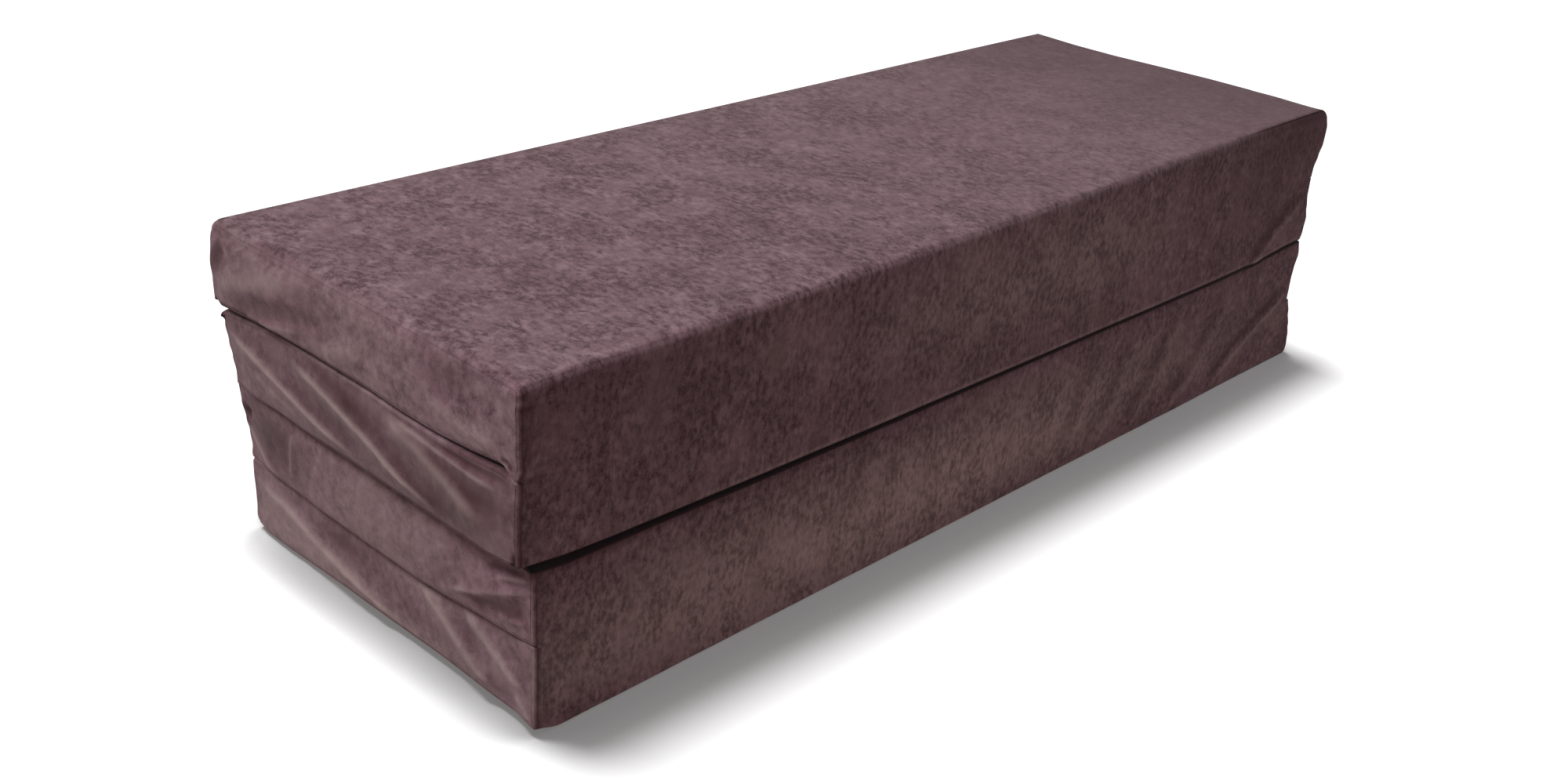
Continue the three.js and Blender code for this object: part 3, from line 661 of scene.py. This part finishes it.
def shapeCushion(name, p, flat, limits, end, mouth, top):
    left, right, low, high = limits
    x, y, z = p.T.copy()
    fx, fy, fz = flat.T
    level = layerNames.index(name)
    up = z - low
    fromLeft, fromRight = fx - left, right - fx
    fromFront, fromBack = fy + halfDepth, halfDepth - fy
    edgeGap = np.minimum(np.minimum(fromFront, fromBack), np.minimum(fz - low, high - fz))

    # long faces
    frontFace, backFace = smooth(4, 0.5, fromFront), smooth(4, 0.5, fromBack)
    y += frontFace * frontOffset(fx, fz)
    y -= backFace * backOffset(fx, fz)
    # painted light and shade of the front and back creases, and patches of nap and painted light on the front
    paintedLightAndTone = frontFace * creases(fx, fz, frontCreases)[1] + backFace * creases(fx, fz, backCreases)[1]
    fromFold = high - fz if name in ("bottom", "upper") else fz - low
    napAndPaintedLight = frontFace * softPatches(fx, fz, frontNapAndPaintedLight) * smooth(1, 9, fromFold)

    # ends
    fadeLeft, fadeRight = bell(fromLeft, 0, end["fade"]), bell(fromRight, 0, end["fade"])
    x -= fadeLeft * gridValue(leftReach[name], depthStops, heightStops, y, up)
    zipLine = (low + high) / 2
    reach = gridValue(rightReach[name], depthStops, heightStops, y, up)
    byZip = smooth(22, 12, np.abs(fz - zipLine)) * smooth(-246, -239, fy)
    x += fadeRight * (reach + byZip * (np.minimum(reach, 0.3) - reach))
    inPanel = 0.12 + 0.88 * smooth(1, 13, edgeGap)
    nearLeft, nearRight = bell(fromLeft, 0, end["reliefFade"]), bell(fromRight, 0, end["reliefFade"])
    zipClear = smooth(8, 20, np.abs(fz - zipLine))
    ripple = puckers.at(y / 19 + 5 * level, z / 23) * 0.6 + puckers.at(y / 9 + 3, z / 8 + level) * 0.3
    # end creases and puckers: relief, with painted light and shade on them
    relief, shade = creases(y, z, leftCreases[name])
    x -= nearLeft * inPanel * (relief * smooth(0, 34, fromBack) + ripple)
    paintedLightAndTone += nearLeft * (smooth(0, 5, edgeGap) * shade + 0.10 * ripple)
    napAndPaintedLight += nearLeft * softPatches(y, z, leftNapAndPaintedLight[name])
    relief, shade = creases(y, z, rightCreases[name])
    x += nearRight * inPanel * zipClear * (relief + ripple)
    paintedLightAndTone += nearRight * zipClear * (smooth(0, 5, edgeGap) * shade + 0.10 * ripple)

    # sewn edge: a fine standing ridge, with a painted highlight along it
    seam = sum(bell(distance, end["seamPlace"], end["seamWidth"]) for distance in (fromLeft, fromRight))
    if name == "top":
        seam *= 1 - 0.75 * smooth(6, 0, high - fz)
    around = fy + fz * 1.3
    pucker = puckers.at(around / 15, around * 0 + level) * 0.5 + 0.5
    x += np.where(fromLeft < fromRight, -1, 1) * seam * (end["seamHeight"] + end["seamPucker"] * pucker)
    paintedLightAndTone += end["seamLight"] * seam * (0.6 + 0.6 * pucker)
    # painted shade on the front beside the left seam and towards the left corner
    paintedLightAndTone -= frontFace * (0.55 * bell(fromLeft, 4.4, 1.3) + 0.3 * smooth(26, 6, fromLeft))

    # zip mouth
    inMouth = smooth(*mouth["across"], np.abs(fz - zipLine)) * smooth(*mouth["along"], np.abs(fy))
    lip = bell(np.abs(fz - zipLine), mouth["lipPlace"], 1.7) * smooth(243, 238, np.abs(fy))
    x += np.where(fromRight < 1, lip * mouth["lip"] - inMouth * mouth["depth"], 0)

    # free top surface
    if name == "top":
        nearTop = smooth(14, 0, high - fz)
        edge = np.minimum(np.minimum(fromFront, fromBack), np.minimum(fromLeft, fromRight))
        swell = top["rise"] + top["crown"] * (1 - (fy / halfDepth) ** 2)
        swell = swell - top["edgeDrop"] * np.exp(-np.maximum(edge, 0) / top["edgeReach"])
        z += nearTop * (swell + top["wave"] * waves.at(fx / 120 + 2, fy / 90 + 4) * smooth(0, 60, edge))
        x, z = roundEdge(x, z, -1, 1, left - 11, high, top["leftRound"])
        tuck = top["tuckRound"] + top["tuckMore"] * smooth(120, 235, fy)
        tuckX, tuckZ = roundEdge(x, z, -1, -1, left - 9, low, tuck)
        tucked = smooth(-236, -222, fy)
        x, z = x + (tuckX - x) * tucked, z + (tuckZ - z) * tucked
        turn = top["rightRound"] + top["rightMore"] * smooth(-150, -235, fy)
        x, z = roundEdge(x, z, 1, 1, right + 9, high, turn)
        x, y = roundEdge(x, y, -1, 1, left - 21, halfDepth, top["backRound"])
        # a painted highlight along the top's left edge, broken up by noise
        wearAndHighlightNoise = puckers.at(fy / 34, fy * 0) * 0.7 + 0.4
        paintedLightAndTone += 0.26 * bell(fromLeft, 5, 7) * smooth(3, 0, high - fz) * wearAndHighlightNoise
        z += nearTop * smooth(-100, 640, fx) * np.interp(fy, topRise["across"], topRise["rise"])
        # painted shade: the top grows darker towards its far right end, as the light falls off
        napAndPaintedLight -= nearTop * (0.13 * smooth(-300, 640, fx) + 0.44 * smooth(250, 690, fx))
    if name == "bottom":
        y, z = roundEdge(y, z, 1, -1, halfDepth, low, 9)
        turned = smooth(60, 0, fromLeft)
        z += turned * smooth(26, 0, fromBack) * smooth(26, 0, fz - low) * 3
        x += nearLeft * bell(fy, 247, 16) * bell(fz, low, 18) * 1.5

    # edges of the end panels, and the open gap along the front
    shift, paintedSlitShade = edgeShift(name, x, fx, fy, fz, limits)
    z += shift
    # painted shade inside the slit
    paintedLightAndTone = np.clip(paintedLightAndTone - 0.9 * paintedSlitShade, -1, 1)
    # painted shade inside the front gap between the middle sections
    if name in ("upper", "lower"):
        fromGap = fz - low if name == "upper" else high - fz
        paintedLightAndTone -= 1.8 * smooth(15, 4, fromFront) * smooth(3.0 - 1.2 * smooth(-600, -200, x), 0.2, fromGap)
    if name == "lower":
        # painted shade on the lower front just under the gap
        napAndPaintedLight -= frontFace * (0.7 - 0.3 * smooth(-620, -300, x)) * smooth(15, 2, fromGap)
    if name == "upper":
        # a small dent at the front end of the left seam, with a painted shadow in it
        notch = nearLeft * bell(fromFront, 4, 3.5) * bell(z, 198, 8)
        x += 3.5 * notch
        paintedLightAndTone -= 2.2 * notch
        # a painted highlight on the upper front just above the gap
        paintedLightAndTone += 0.5 * frontFace * bell(fromGap, 4.6, 1.9) * smooth(-560, -380, x)
        # the back corner at the left pulled in, with painted shade on it
        ear = nearLeft * bell(fromBack, 0, 6) * smooth(14, 2, high - fz)
        x -= 4.5 * ear
        paintedLightAndTone -= 1.6 * ear
    blush = nearLeft * softPatches(y, z, leftBlush) + smooth(30, 8, fromFront) * softPatches(fx, fz, frontBlush)
    tones = {"paintedLightAndTone": np.clip(paintedLightAndTone, -2, 1), "napAndPaintedLight": np.clip(napAndPaintedLight, -1, 1), "blush": np.clip(blush, 0, 1)}
    return np.column_stack([x, y, z]), tones


def meshObject(name, points, faces, material, attributes):
    data = bpy.data.meshes.new(name)
    data.vertices.add(len(points))
    data.vertices.foreach_set("co", (points * mm).astype(np.float32).ravel())
    data.loops.add(faces.size)
    data.loops.foreach_set("vertex_index", faces.astype(np.int32).ravel())
    data.polygons.add(len(faces))
    data.polygons.foreach_set("loop_start", np.arange(0, faces.size, faces.shape[1], dtype=np.int32))
    data.polygons.foreach_set("loop_total", np.full(len(faces), faces.shape[1], dtype=np.int32))
    data.polygons.foreach_set("use_smooth", np.ones(len(faces), dtype=bool))
    data.update(calc_edges=True)
    data.validate()
    data.materials.append(material)
    for key, values in attributes.items():
        data.attributes.new(key, "FLOAT", "POINT").data.foreach_set("value", values.astype(np.float32))
    return newObject(name, data)


pileLook = {"atEnds": 0.55, "moreInFront": 0.2, "lessFarTop": 0.42}
cushions = {}
for layerName in layerNames:
    basePoints, flatPoints, cushionFaces, cushionLimits = makeCushionMesh(layerName, cushionMesh)
    shaped, tones = shapeCushion(
        layerName, basePoints, flatPoints, cushionLimits, endSwell, zipMouth, topShape)
    onTop = flatPoints[:, 2] > cushionLimits[3] - 0.5
    endward = np.minimum(flatPoints[:, 0] - cushionLimits[0], cushionLimits[1] - flatPoints[:, 0])
    frontHalf = smooth(120, -120, flatPoints[:, 1]) if layerName == "top" else 0
    endPile = pileLook["atEnds"] + pileLook["moreInFront"] * frontHalf
    farTop = onTop * pileLook["lessFarTop"] * smooth(-300, 680, flatPoints[:, 0])
    tones["pile"] = (endPile + (1 - endPile) * smooth(0, 7, endward)) * (1 - farTop)
    cushion = meshObject(layerName + "_cushion", shaped, cushionFaces, velour, tones)
    cushions[layerName] = cushion
    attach(cushion, layerName + "_section")
    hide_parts(*[layerName + part for part in (
        "_front_cover", "_back_cover", "_left_end_panel",
        "_right_panel_above_zip", "_right_panel_below_zip")])
    print(layerName, "cushion:", len(shaped), "points")


# Foam inside the covers

foamCore = {"endRoom": 9.0, "sideRoom": 6.0, "faceRoom": 3.5, "edge": 9.0, "edgeSteps": 4,
            "longEdge": 60, "cuts": 9}
foamLook = {"pale": srgb(226, 214, 186), "cream": srgb(235, 226, 203), "cell": srgb(176, 160, 128)}


def makeFoam(look):
    mat, tree, coords = newMaterial("open cell foam")
    cells = addNode(tree, "ShaderNodeTexVoronoi", {"Vector": coords, "Scale": 620}).outputs["Distance"]
    slow = addNoise(tree, coords, 14, 3)
    tone = addMix(tree, addRange(tree, slow, 0.35, 0.65), look["pale"], look["cream"])
    tone = addMix(tree, addRange(tree, cells, 0.1, 0.6, 0.0, 0.35), tone, look["cell"])
    finishShader(tree, tone, 0.95, cells, 0.5, 0.0008)
    return mat


foamFinish = makeFoam(foamLook)


def makeFoamCore(name, sets):
    low, high = (Vector(v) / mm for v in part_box(name + "_foam_block"))
    room = Vector((sets["endRoom"], sets["sideRoom"], sets["faceRoom"]))
    low, high = low + room, high - room
    build = bmesh.new()
    bmesh.ops.create_cube(build, size=1)
    for vert in build.verts:
        vert.co = Vector([(a + b) / 2 + (b - a) * c for a, b, c in zip(low, high, vert.co)])
    bmesh.ops.bevel(build, geom=list(build.edges), offset=sets["edge"], segments=sets["edgeSteps"],
                    profile=0.5, affect="EDGES")
    longEdges = [edge for edge in build.edges if edge.calc_length() > sets["longEdge"]]
    bmesh.ops.subdivide_edges(build, edges=longEdges, cuts=sets["cuts"], use_grid_fill=True)
    bmesh.ops.recalc_face_normals(build, faces=build.faces)

    # bmesh orders its points differently from run to run, so points and faces are sorted by place
    verts = sorted(build.verts, key=lambda vert: tuple(round(c, 4) for c in vert.co))
    rank = {vert: number for number, vert in enumerate(verts)}
    faces = []
    for face in build.faces:
        ids = [rank[vert] for vert in face.verts]
        first = 0 if ids[0] < ids[2] else 2          # every face is a quad, and keeps its diagonal
        faces.append(ids[first:] + ids[:first])
    co = np.array([vert.co for vert in verts])
    build.free()
    co[:, 2] += edgeShift(name, co[:, 0], *co.T, cushionGrid(name))[0]
    data = bpy.data.meshes.new(name + "_foam_core")
    data.from_pydata((co * mm).tolist(), [], sorted(faces))
    data.shade_smooth()
    data.materials.append(foamFinish)
    core = newObject(name + "_foam_core", data)
    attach(core, name + "_section")
    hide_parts(name + "_foam_block")


for layerName in layerNames:
    makeFoamCore(layerName, foamCore)
print("foam cores made")


# Cloth over the folds

foldCloth = {"reach": 18.0, "thickness": 1.0, "bendReach": 6.0, "endRoom": 4.2, "over": 0.30,
             "tuckedEdge": 0.85, "lengthSteps": (3, 6.6, 1.15),
             "acrossSteps": (0, 1, 2, 3.2, 4.5, 6, 8, 11, 14, 18)}


def makeFoldCloth(name, sets, backSide, lowerLayer, upperLayer):
    height = foldHeight[name]
    column = np.array([247 if backSide else -247])
    ends = []
    for side, sign, reach, inmost in ((0, 1, leftReach, max), (1, -1, rightReach, min)):
        edges = []
        for layer, up in ((lowerLayer, 91.0), (upperLayer, 1.0)):
            out = gridValue(reach[layer], depthStops, heightStops, column, np.array([up]))[0]
            edges.append(cushionGrid(layer)[side] - sign * out)
        ends.append(inmost(edges) + sign * sets["endRoom"])
    xs = gradedSteps(ends[0], ends[1], *sets["lengthSteps"])
    steps = np.array(sets["acrossSteps"])
    ts = np.concatenate([-steps[:0:-1], steps]) / steps[-1] * sets["reach"]
    gx, gt = np.meshgrid(xs, ts, indexing="ij")
    gz = height + gt
    inside = backOffset(gx, gz) if backSide else frontOffset(gx, gz)
    edge = np.minimum(np.minimum(gx - xs[0], xs[-1] - gx), sets["reach"] - np.abs(gt))
    depth = inside - sets["over"] + sets["tuckedEdge"] * smooth(6, 0, edge)
    outer = np.stack([gx, depth, gz], -1)
    inner = outer + np.array([0, sets["thickness"], 0])
    sign = 1 if not backSide else -1
    outer[..., 1] = sign * (-halfDepth + outer[..., 1])
    inner[..., 1] = sign * (-halfDepth + inner[..., 1])
    nx, nt = gx.shape
    points = np.concatenate([outer.reshape(-1, 3), inner.reshape(-1, 3)])
    grid = np.arange(nx * nt).reshape(nx, nt)
    quads = np.stack([grid[:-1, :-1], grid[1:, :-1], grid[1:, 1:], grid[:-1, 1:]], -1).reshape(-1, 4)
    back = quads[:, ::-1] + nx * nt
    rim = np.concatenate([grid[:, 0], grid[-1, 1:], grid[:-1, -1][::-1], grid[0, 1:-1][::-1]])
    step = np.roll(rim, -1)
    side = np.stack([rim, rim + nx * nt, step + nx * nt, step], 1)
    faces = np.concatenate([quads, back, side])
    if backSide:
        faces = faces[:, ::-1]
    paintedLightAndTone = creases(gx, gz, backCreases if backSide else frontCreases)[1]
    napAndPaintedLight = gx * 0 if backSide else softPatches(gx, gz, frontNapAndPaintedLight)
    # the inner side keeps its pile, and has neither the outer side's painted light and shade nor its nap
    # patches
    sides = {"pile": (gx * 0 + 1, 1), "paintedLightAndTone": (np.clip(paintedLightAndTone, -1, 1), 0), "napAndPaintedLight": (napAndPaintedLight, 0)}
    piece = meshObject(name + "_fold_cloth", points, faces, velour, {
        key: np.concatenate([values.ravel(), values.ravel() * share])
        for key, (values, share) in sides.items()})
    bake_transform(piece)
    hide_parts(name + "_fold_seam")
    return piece


makeFoldCloth("lower", foldCloth, False, "bottom", "lower")
makeFoldCloth("middle", foldCloth, True, "lower", "upper")
makeFoldCloth("upper", foldCloth, False, "upper", "top")
print("fold cloths made")


# Carried-over pieces

trimLook = {
    "tapeDark": srgb(58, 42, 45), "tapeLight": srgb(92, 71, 75), "tapeWorn": srgb(70, 54, 57),
    "nickel": srgb(120, 116, 116), "nickelDark": srgb(92, 88, 90),
    "thread": srgb(96, 74, 78), "threadLight": srgb(126, 101, 105),
    "coil": srgb(64, 48, 52), "coilLight": srgb(84, 66, 70),
}


def makeTape(look):
    mat, tree, coords = newMaterial("woven zip tape")
    slant = addNode(tree, "ShaderNodeMapping", {"Vector": coords, "Rotation": (math.pi / 4, 0, 0)})
    weave = addNode(tree, "ShaderNodeTexWave", {
        "Vector": slant.outputs["Vector"], "Scale": 260, "Distortion": 0.6, "Detail": 2},
        bands_direction="Y").outputs["Fac"]
    slow = addNoise(tree, coords, 60, 3)
    tone = addMix(tree, addRange(tree, weave, 0.1, 0.9), look["tapeDark"], look["tapeLight"])
    tone = addMix(tree, addRange(tree, slow, 0.3, 0.7, 0, 0.3), tone, look["tapeWorn"])
    finishShader(tree, tone, 0.78, weave, 0.45, 0.0004)
    return mat


def makeZipMetal(look):
    mat, tree, coords = newMaterial("dark nickel")
    grain = addNoise(tree, coords, 900, 3, 0.6, 0.0, (1, 0.15, 1))
    wearAndHighlightNoise = addNoise(tree, coords, 240, 4, 0.6)
    tone = addMix(tree, addRange(tree, wearAndHighlightNoise, 0.4, 0.7), look["nickel"], look["nickelDark"])
    finishShader(tree, tone, addRange(tree, grain, 0.3, 0.7, 0.24, 0.42), grain, 0.12, 0.0002, Metallic=1.0)
    return mat


def makeThread(look):
    mat, tree, coords = newMaterial("mauve thread")
    twist = addNoise(tree, coords, 2400, 2, 0.6, 0.0, (1, 0.4, 1))
    tone = addMix(tree, addRange(tree, twist, 0.35, 0.65), look["thread"], look["threadLight"])
    finishShader(tree, tone, 0.7, twist, 0.4, 0.0003)
    return mat


def makeNylon(look):
    mat, tree, coords = newMaterial("dark nylon coil")
    slow = addNoise(tree, coords, 300, 2)
    tone = addMix(tree, addRange(tree, slow, 0.3, 0.7), look["coil"], look["coilLight"])
    finishShader(tree, tone, addRange(tree, slow, 0.3, 0.7, 0.32, 0.45))
    return mat


tapeFinish, metalFinish, threadFinish, coilFinish = (
    make(trimLook) for make in (makeTape, makeZipMetal, makeThread, makeNylon))
finishOf = {"_zip_tape_above": tapeFinish, "_zip_tape_below": tapeFinish,
            "_zip_slider": metalFinish, "_zip_pull": metalFinish}
for nodeName, node in frame["nodes"].items():
    for ending, finish in finishOf.items():
        if nodeName.endswith(ending):
            node.data.materials.clear()
            node.data.materials.append(finish)
print("finishes given to the carried-over pieces")


# Zip teeth and stitches

rowEnd = 236.0
rayRoom = {"teeth": 0.03, "stitches": 0.02}      # metres: the stitches' rays start this much further out
teethLook = {"pitch": 2.6, "size": (0.5, 1.15, 2.5), "sink": 0.052, "turn": 0.25, "shift": 0.65,
             "fromTape": 1.2}
stitchLook = {"pitch": 3.6, "size": (0.55, 2.7, 0.6), "sink": 0.05, "turn": 0.0, "away": 9.6}


def makeRowTree():
    # A row of small rounded beads along Y, set down on a surface met going towards -X.
    tree = bpy.data.node_groups.new("row of beads", "GeometryNodeTree")
    kinds = {"Count": "Int", "Pitch": "Float", "Start": "Vector", "Size": "Vector", "Sink": "Float",
             "Turn": "Float", "Surface": "Object", "Finish": "Material"}
    for name, kind in kinds.items():
        tree.interface.new_socket(name, in_out="INPUT", socket_type="NodeSocket" + kind)
    tree.interface.new_socket("Geometry", in_out="OUTPUT", socket_type="NodeSocketGeometry")
    given = addNode(tree, "NodeGroupInput").outputs
    step = addNode(tree, "ShaderNodeCombineXYZ", {"Y": given["Pitch"]})
    line = addNode(tree, "GeometryNodeMeshLine", {
        "Count": given["Count"], "Start Location": given["Start"], "Offset": step.outputs[0]}, mode="OFFSET")
    surface = addNode(tree, "GeometryNodeObjectInfo", {"Object": given["Surface"]})
    ray = addNode(tree, "GeometryNodeRaycast", {
        "Target Geometry": surface.outputs["Geometry"], "Ray Direction": (-1, 0, 0), "Ray Length": 0.2})
    sink = addNode(tree, "ShaderNodeCombineXYZ", {"X": given["Sink"]})
    place = addNode(tree, "ShaderNodeVectorMath", {0: ray.outputs["Hit Position"], 1: sink.outputs[0]},
                    operation="SUBTRACT")
    put = addNode(tree, "GeometryNodeSetPosition", {
        "Geometry": line.outputs["Mesh"], "Position": place.outputs[0]})
    bead = addNode(tree, "GeometryNodeMeshIcoSphere", {"Radius": 0.5, "Subdivisions": 2})
    shape = addNode(tree, "GeometryNodeTransform", {"Geometry": bead.outputs["Mesh"], "Scale": given["Size"]})
    turn = addNode(tree, "ShaderNodeCombineXYZ", {"X": given["Turn"]})
    copies = addNode(tree, "GeometryNodeInstanceOnPoints", {
        "Points": put.outputs["Geometry"], "Instance": shape.outputs["Geometry"],
        "Rotation": turn.outputs[0]})
    real = addNode(tree, "GeometryNodeRealizeInstances", {"Geometry": copies.outputs["Instances"]})
    finish = addNode(tree, "GeometryNodeSetMaterial", {
        "Geometry": real.outputs["Geometry"], "Material": given["Finish"]})
    addNode(tree, "NodeGroupOutput", {"Geometry": finish.outputs["Geometry"]})
    return tree


def makeRow(tree, name, values):
    host = newObject(name, bpy.data.meshes.new(name))
    row = host.modifiers.new("row", "NODES")
    row.node_group = tree
    for item in tree.interface.items_tree:
        if item.in_out == "INPUT":
            row[item.identifier] = values[item.name]
    bpy.context.view_layer.update()
    made = bpy.data.meshes.new_from_object(host.evaluated_get(bpy.context.evaluated_depsgraph_get()))
    host.modifiers.remove(row)
    host.data = made
    made.name = name
    return host


def joinRows(name, rows):
    points, faces = [], []
    base = 0
    for row in rows:
        count = len(row.data.vertices)
        co = np.zeros(count * 3, np.float32)
        row.data.vertices.foreach_get("co", co)
        points.append(co.reshape(-1, 3) / mm)
        corners = np.zeros(len(row.data.loops), np.int32)
        row.data.loops.foreach_get("vertex_index", corners)
        faces.append(corners.reshape(-1, 3) + base)
        base += count
        material = row.data.materials[0]
        bpy.data.objects.remove(row)
    return meshObject(name, np.concatenate(points), np.concatenate(faces), material, {})


def rowValues(look, outside, shift, height, side, surface, finish):
    return {"Count": int(2 * rowEnd / look["pitch"]), "Pitch": look["pitch"] * mm,
            "Start": (outside, (-rowEnd + shift) * mm, height * mm),
            "Size": tuple(v * mm for v in look["size"]), "Sink": look["sink"] * mm,
            "Turn": side * look["turn"], "Surface": surface, "Finish": finish}


rowTree = makeRowTree()
for layerName in layerNames:
    zipHeight = layerNames.index(layerName) * layerPitch + layerHeight / 2
    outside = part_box(layerName + "_zip_tape_above")[1].x + rayRoom["teeth"]
    teeth, stitches = [], []
    for side, tapeName in ((1, "_zip_tape_above"), (-1, "_zip_tape_below")):
        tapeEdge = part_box(layerName + tapeName)[0 if side > 0 else 1].z / mm
        reach = abs(tapeEdge - zipHeight) + teethLook["fromTape"]
        teeth.append(makeRow(rowTree, layerName + "_teeth", rowValues(
            teethLook, outside, teethLook["shift"] if side > 0 else 0, zipHeight + side * reach, side,
            frame["nodes"][layerName + tapeName], coilFinish)))
        stitches.append(makeRow(rowTree, layerName + "_stitches", rowValues(
            stitchLook, outside + rayRoom["stitches"], 0, zipHeight + side * stitchLook["away"], side,
            cushions[layerName], threadFinish)))
    for ending, rows, slot in (("_zip_teeth", teeth, "zip_tape"), ("_zip_stitches", stitches, "velour")):
        joined = joinRows(layerName + ending, rows)
        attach(joined, layerName + "_section")
print("zip teeth and stitches made")


# Floor and light

stageLook = {
    "floorSize": 30.0,
    "floorSeen": 0.72,
    "floorBounce": (0.33, 0.226, 0.20, 1),
    "floorShade": 0.10,
    "floorGlow": 0.14,
    "sky": (1.0, 0.95, 0.955, 1),
    "skyLevel": 0.30,
    "sunFrom": (-0.50, 0.16, 0.85),
    "sunStrength": 1.45,
    "sunSpread": 18,
    "backSunFrom": (0.75, 0.42, 0.51),
    "backSunStrength": 0.56,
    "floorSunFrom": (-0.10, 0.25, 0.96),
    "floorSunStrength": 4.7,
    "floorSunSpread": 17,
    "boxPlace": (-1.85, 0.3, 2.0),
    "boxAim": (-0.5, 0.0, 0.3),
    "boxSize": 0.6,
    "boxPower": 16,
}


def splitBySight(tree, unseen, seen, output):
    # One shader is what lights the bed, the other is what the camera, gloss and glass see.
    path = addNode(tree, "ShaderNodeLightPath").outputs
    mirrored = addMath(tree, "MAXIMUM", path["Is Glossy Ray"], path["Is Transmission Ray"])
    sight = addMath(tree, "MAXIMUM", path["Is Camera Ray"], mirrored)
    mix = addNode(tree, "ShaderNodeMixShader", {0: sight, 1: unseen.outputs[0], 2: seen.outputs[0]})
    addNode(tree, output, {"Surface": mix.outputs[0]})


def makeFloor(look):
    size = look["floorSize"] / 2
    data = bpy.data.meshes.new("floor")
    corners = [(-size, -size, 0), (size, -size, 0), (size, size, 0), (-size, size, 0)]
    data.from_pydata(corners, [], [(0, 1, 2, 3)])
    floor = newObject("floor", data)
    mat = bpy.data.materials.new("white floor")
    mat.use_nodes = True
    tree = mat.node_tree
    tree.nodes.clear()
    bounce = addNode(tree, "ShaderNodeEmission", {"Color": look["floorBounce"]})     # even light back up
    near = addNode(tree, "ShaderNodeAmbientOcclusion", {"Distance": look["floorShade"]}, samples=16)
    shade = addRange(tree, near.outputs["AO"], 0.58, 0.95, 0.47, 1.0)
    tone = addMath(tree, "MULTIPLY", shade, look["floorSeen"])
    pale = addNode(tree, "ShaderNodeBsdfDiffuse", {"Color": tone})
    glow = addNode(tree, "ShaderNodeEmission", {"Strength": look["floorGlow"]})
    both = addNode(tree, "ShaderNodeAddShader", {0: pale.outputs[0], 1: glow.outputs[0]})
    splitBySight(tree, bounce, both, "ShaderNodeOutputMaterial")
    data.materials.append(mat)
    return floor


def makeWorld(look):
    world = bpy.data.worlds.new("studio")
    bpy.context.scene.world = world
    world.use_nodes = True
    tree = world.node_tree
    tree.nodes.clear()
    soft = addNode(tree, "ShaderNodeBackground", {"Color": look["sky"], "Strength": look["skyLevel"]})
    white = addNode(tree, "ShaderNodeBackground", {"Color": (1, 1, 1, 1)})
    splitBySight(tree, soft, white, "ShaderNodeOutputWorld")


def makeLamps(look, floor):
    # three lamps light the bed alone, and the floor sun the floor alone
    onlyBed, onlyFloor = (bpy.data.collections.new(name) for name in ("lit bed", "lit floor"))
    for group in (onlyBed, onlyFloor):
        bpy.context.scene.collection.children.link(group)
    for piece in list(bpy.context.scene.objects):
        if piece.type == "MESH":
            (onlyFloor if piece is floor else onlyBed).objects.link(piece)

    def addLamp(name, kind, energy, away, receivers):
        light = bpy.data.lights.new(name, kind)
        light.energy = energy
        lamp = newObject(name, light)
        lamp.rotation_euler = Vector(away).to_track_quat("Z", "Y").to_euler()
        lamp.light_linking.receiver_collection = receivers
        return lamp

    for name, key, receivers, spread in (
            ("sun", "sun", onlyBed, "sunSpread"), ("back sun", "backSun", onlyBed, "sunSpread"),
            ("floor sun", "floorSun", onlyFloor, "floorSunSpread")):
        sun = addLamp(name, "SUN", look[key + "Strength"], look[key + "From"], receivers)
        sun.data.angle = math.radians(look[spread])

    away = Vector(look["boxPlace"]) - Vector(look["boxAim"])
    softbox = addLamp("softbox", "AREA", look["boxPower"], away, onlyBed)
    softbox.location = look["boxPlace"]
    softbox.data.size = look["boxSize"]


makeWorld(stageLook)
makeLamps(stageLook, makeFloor(stageLook))
bpy.context.scene.view_settings.view_transform = "Standard"
print("stage and light made")
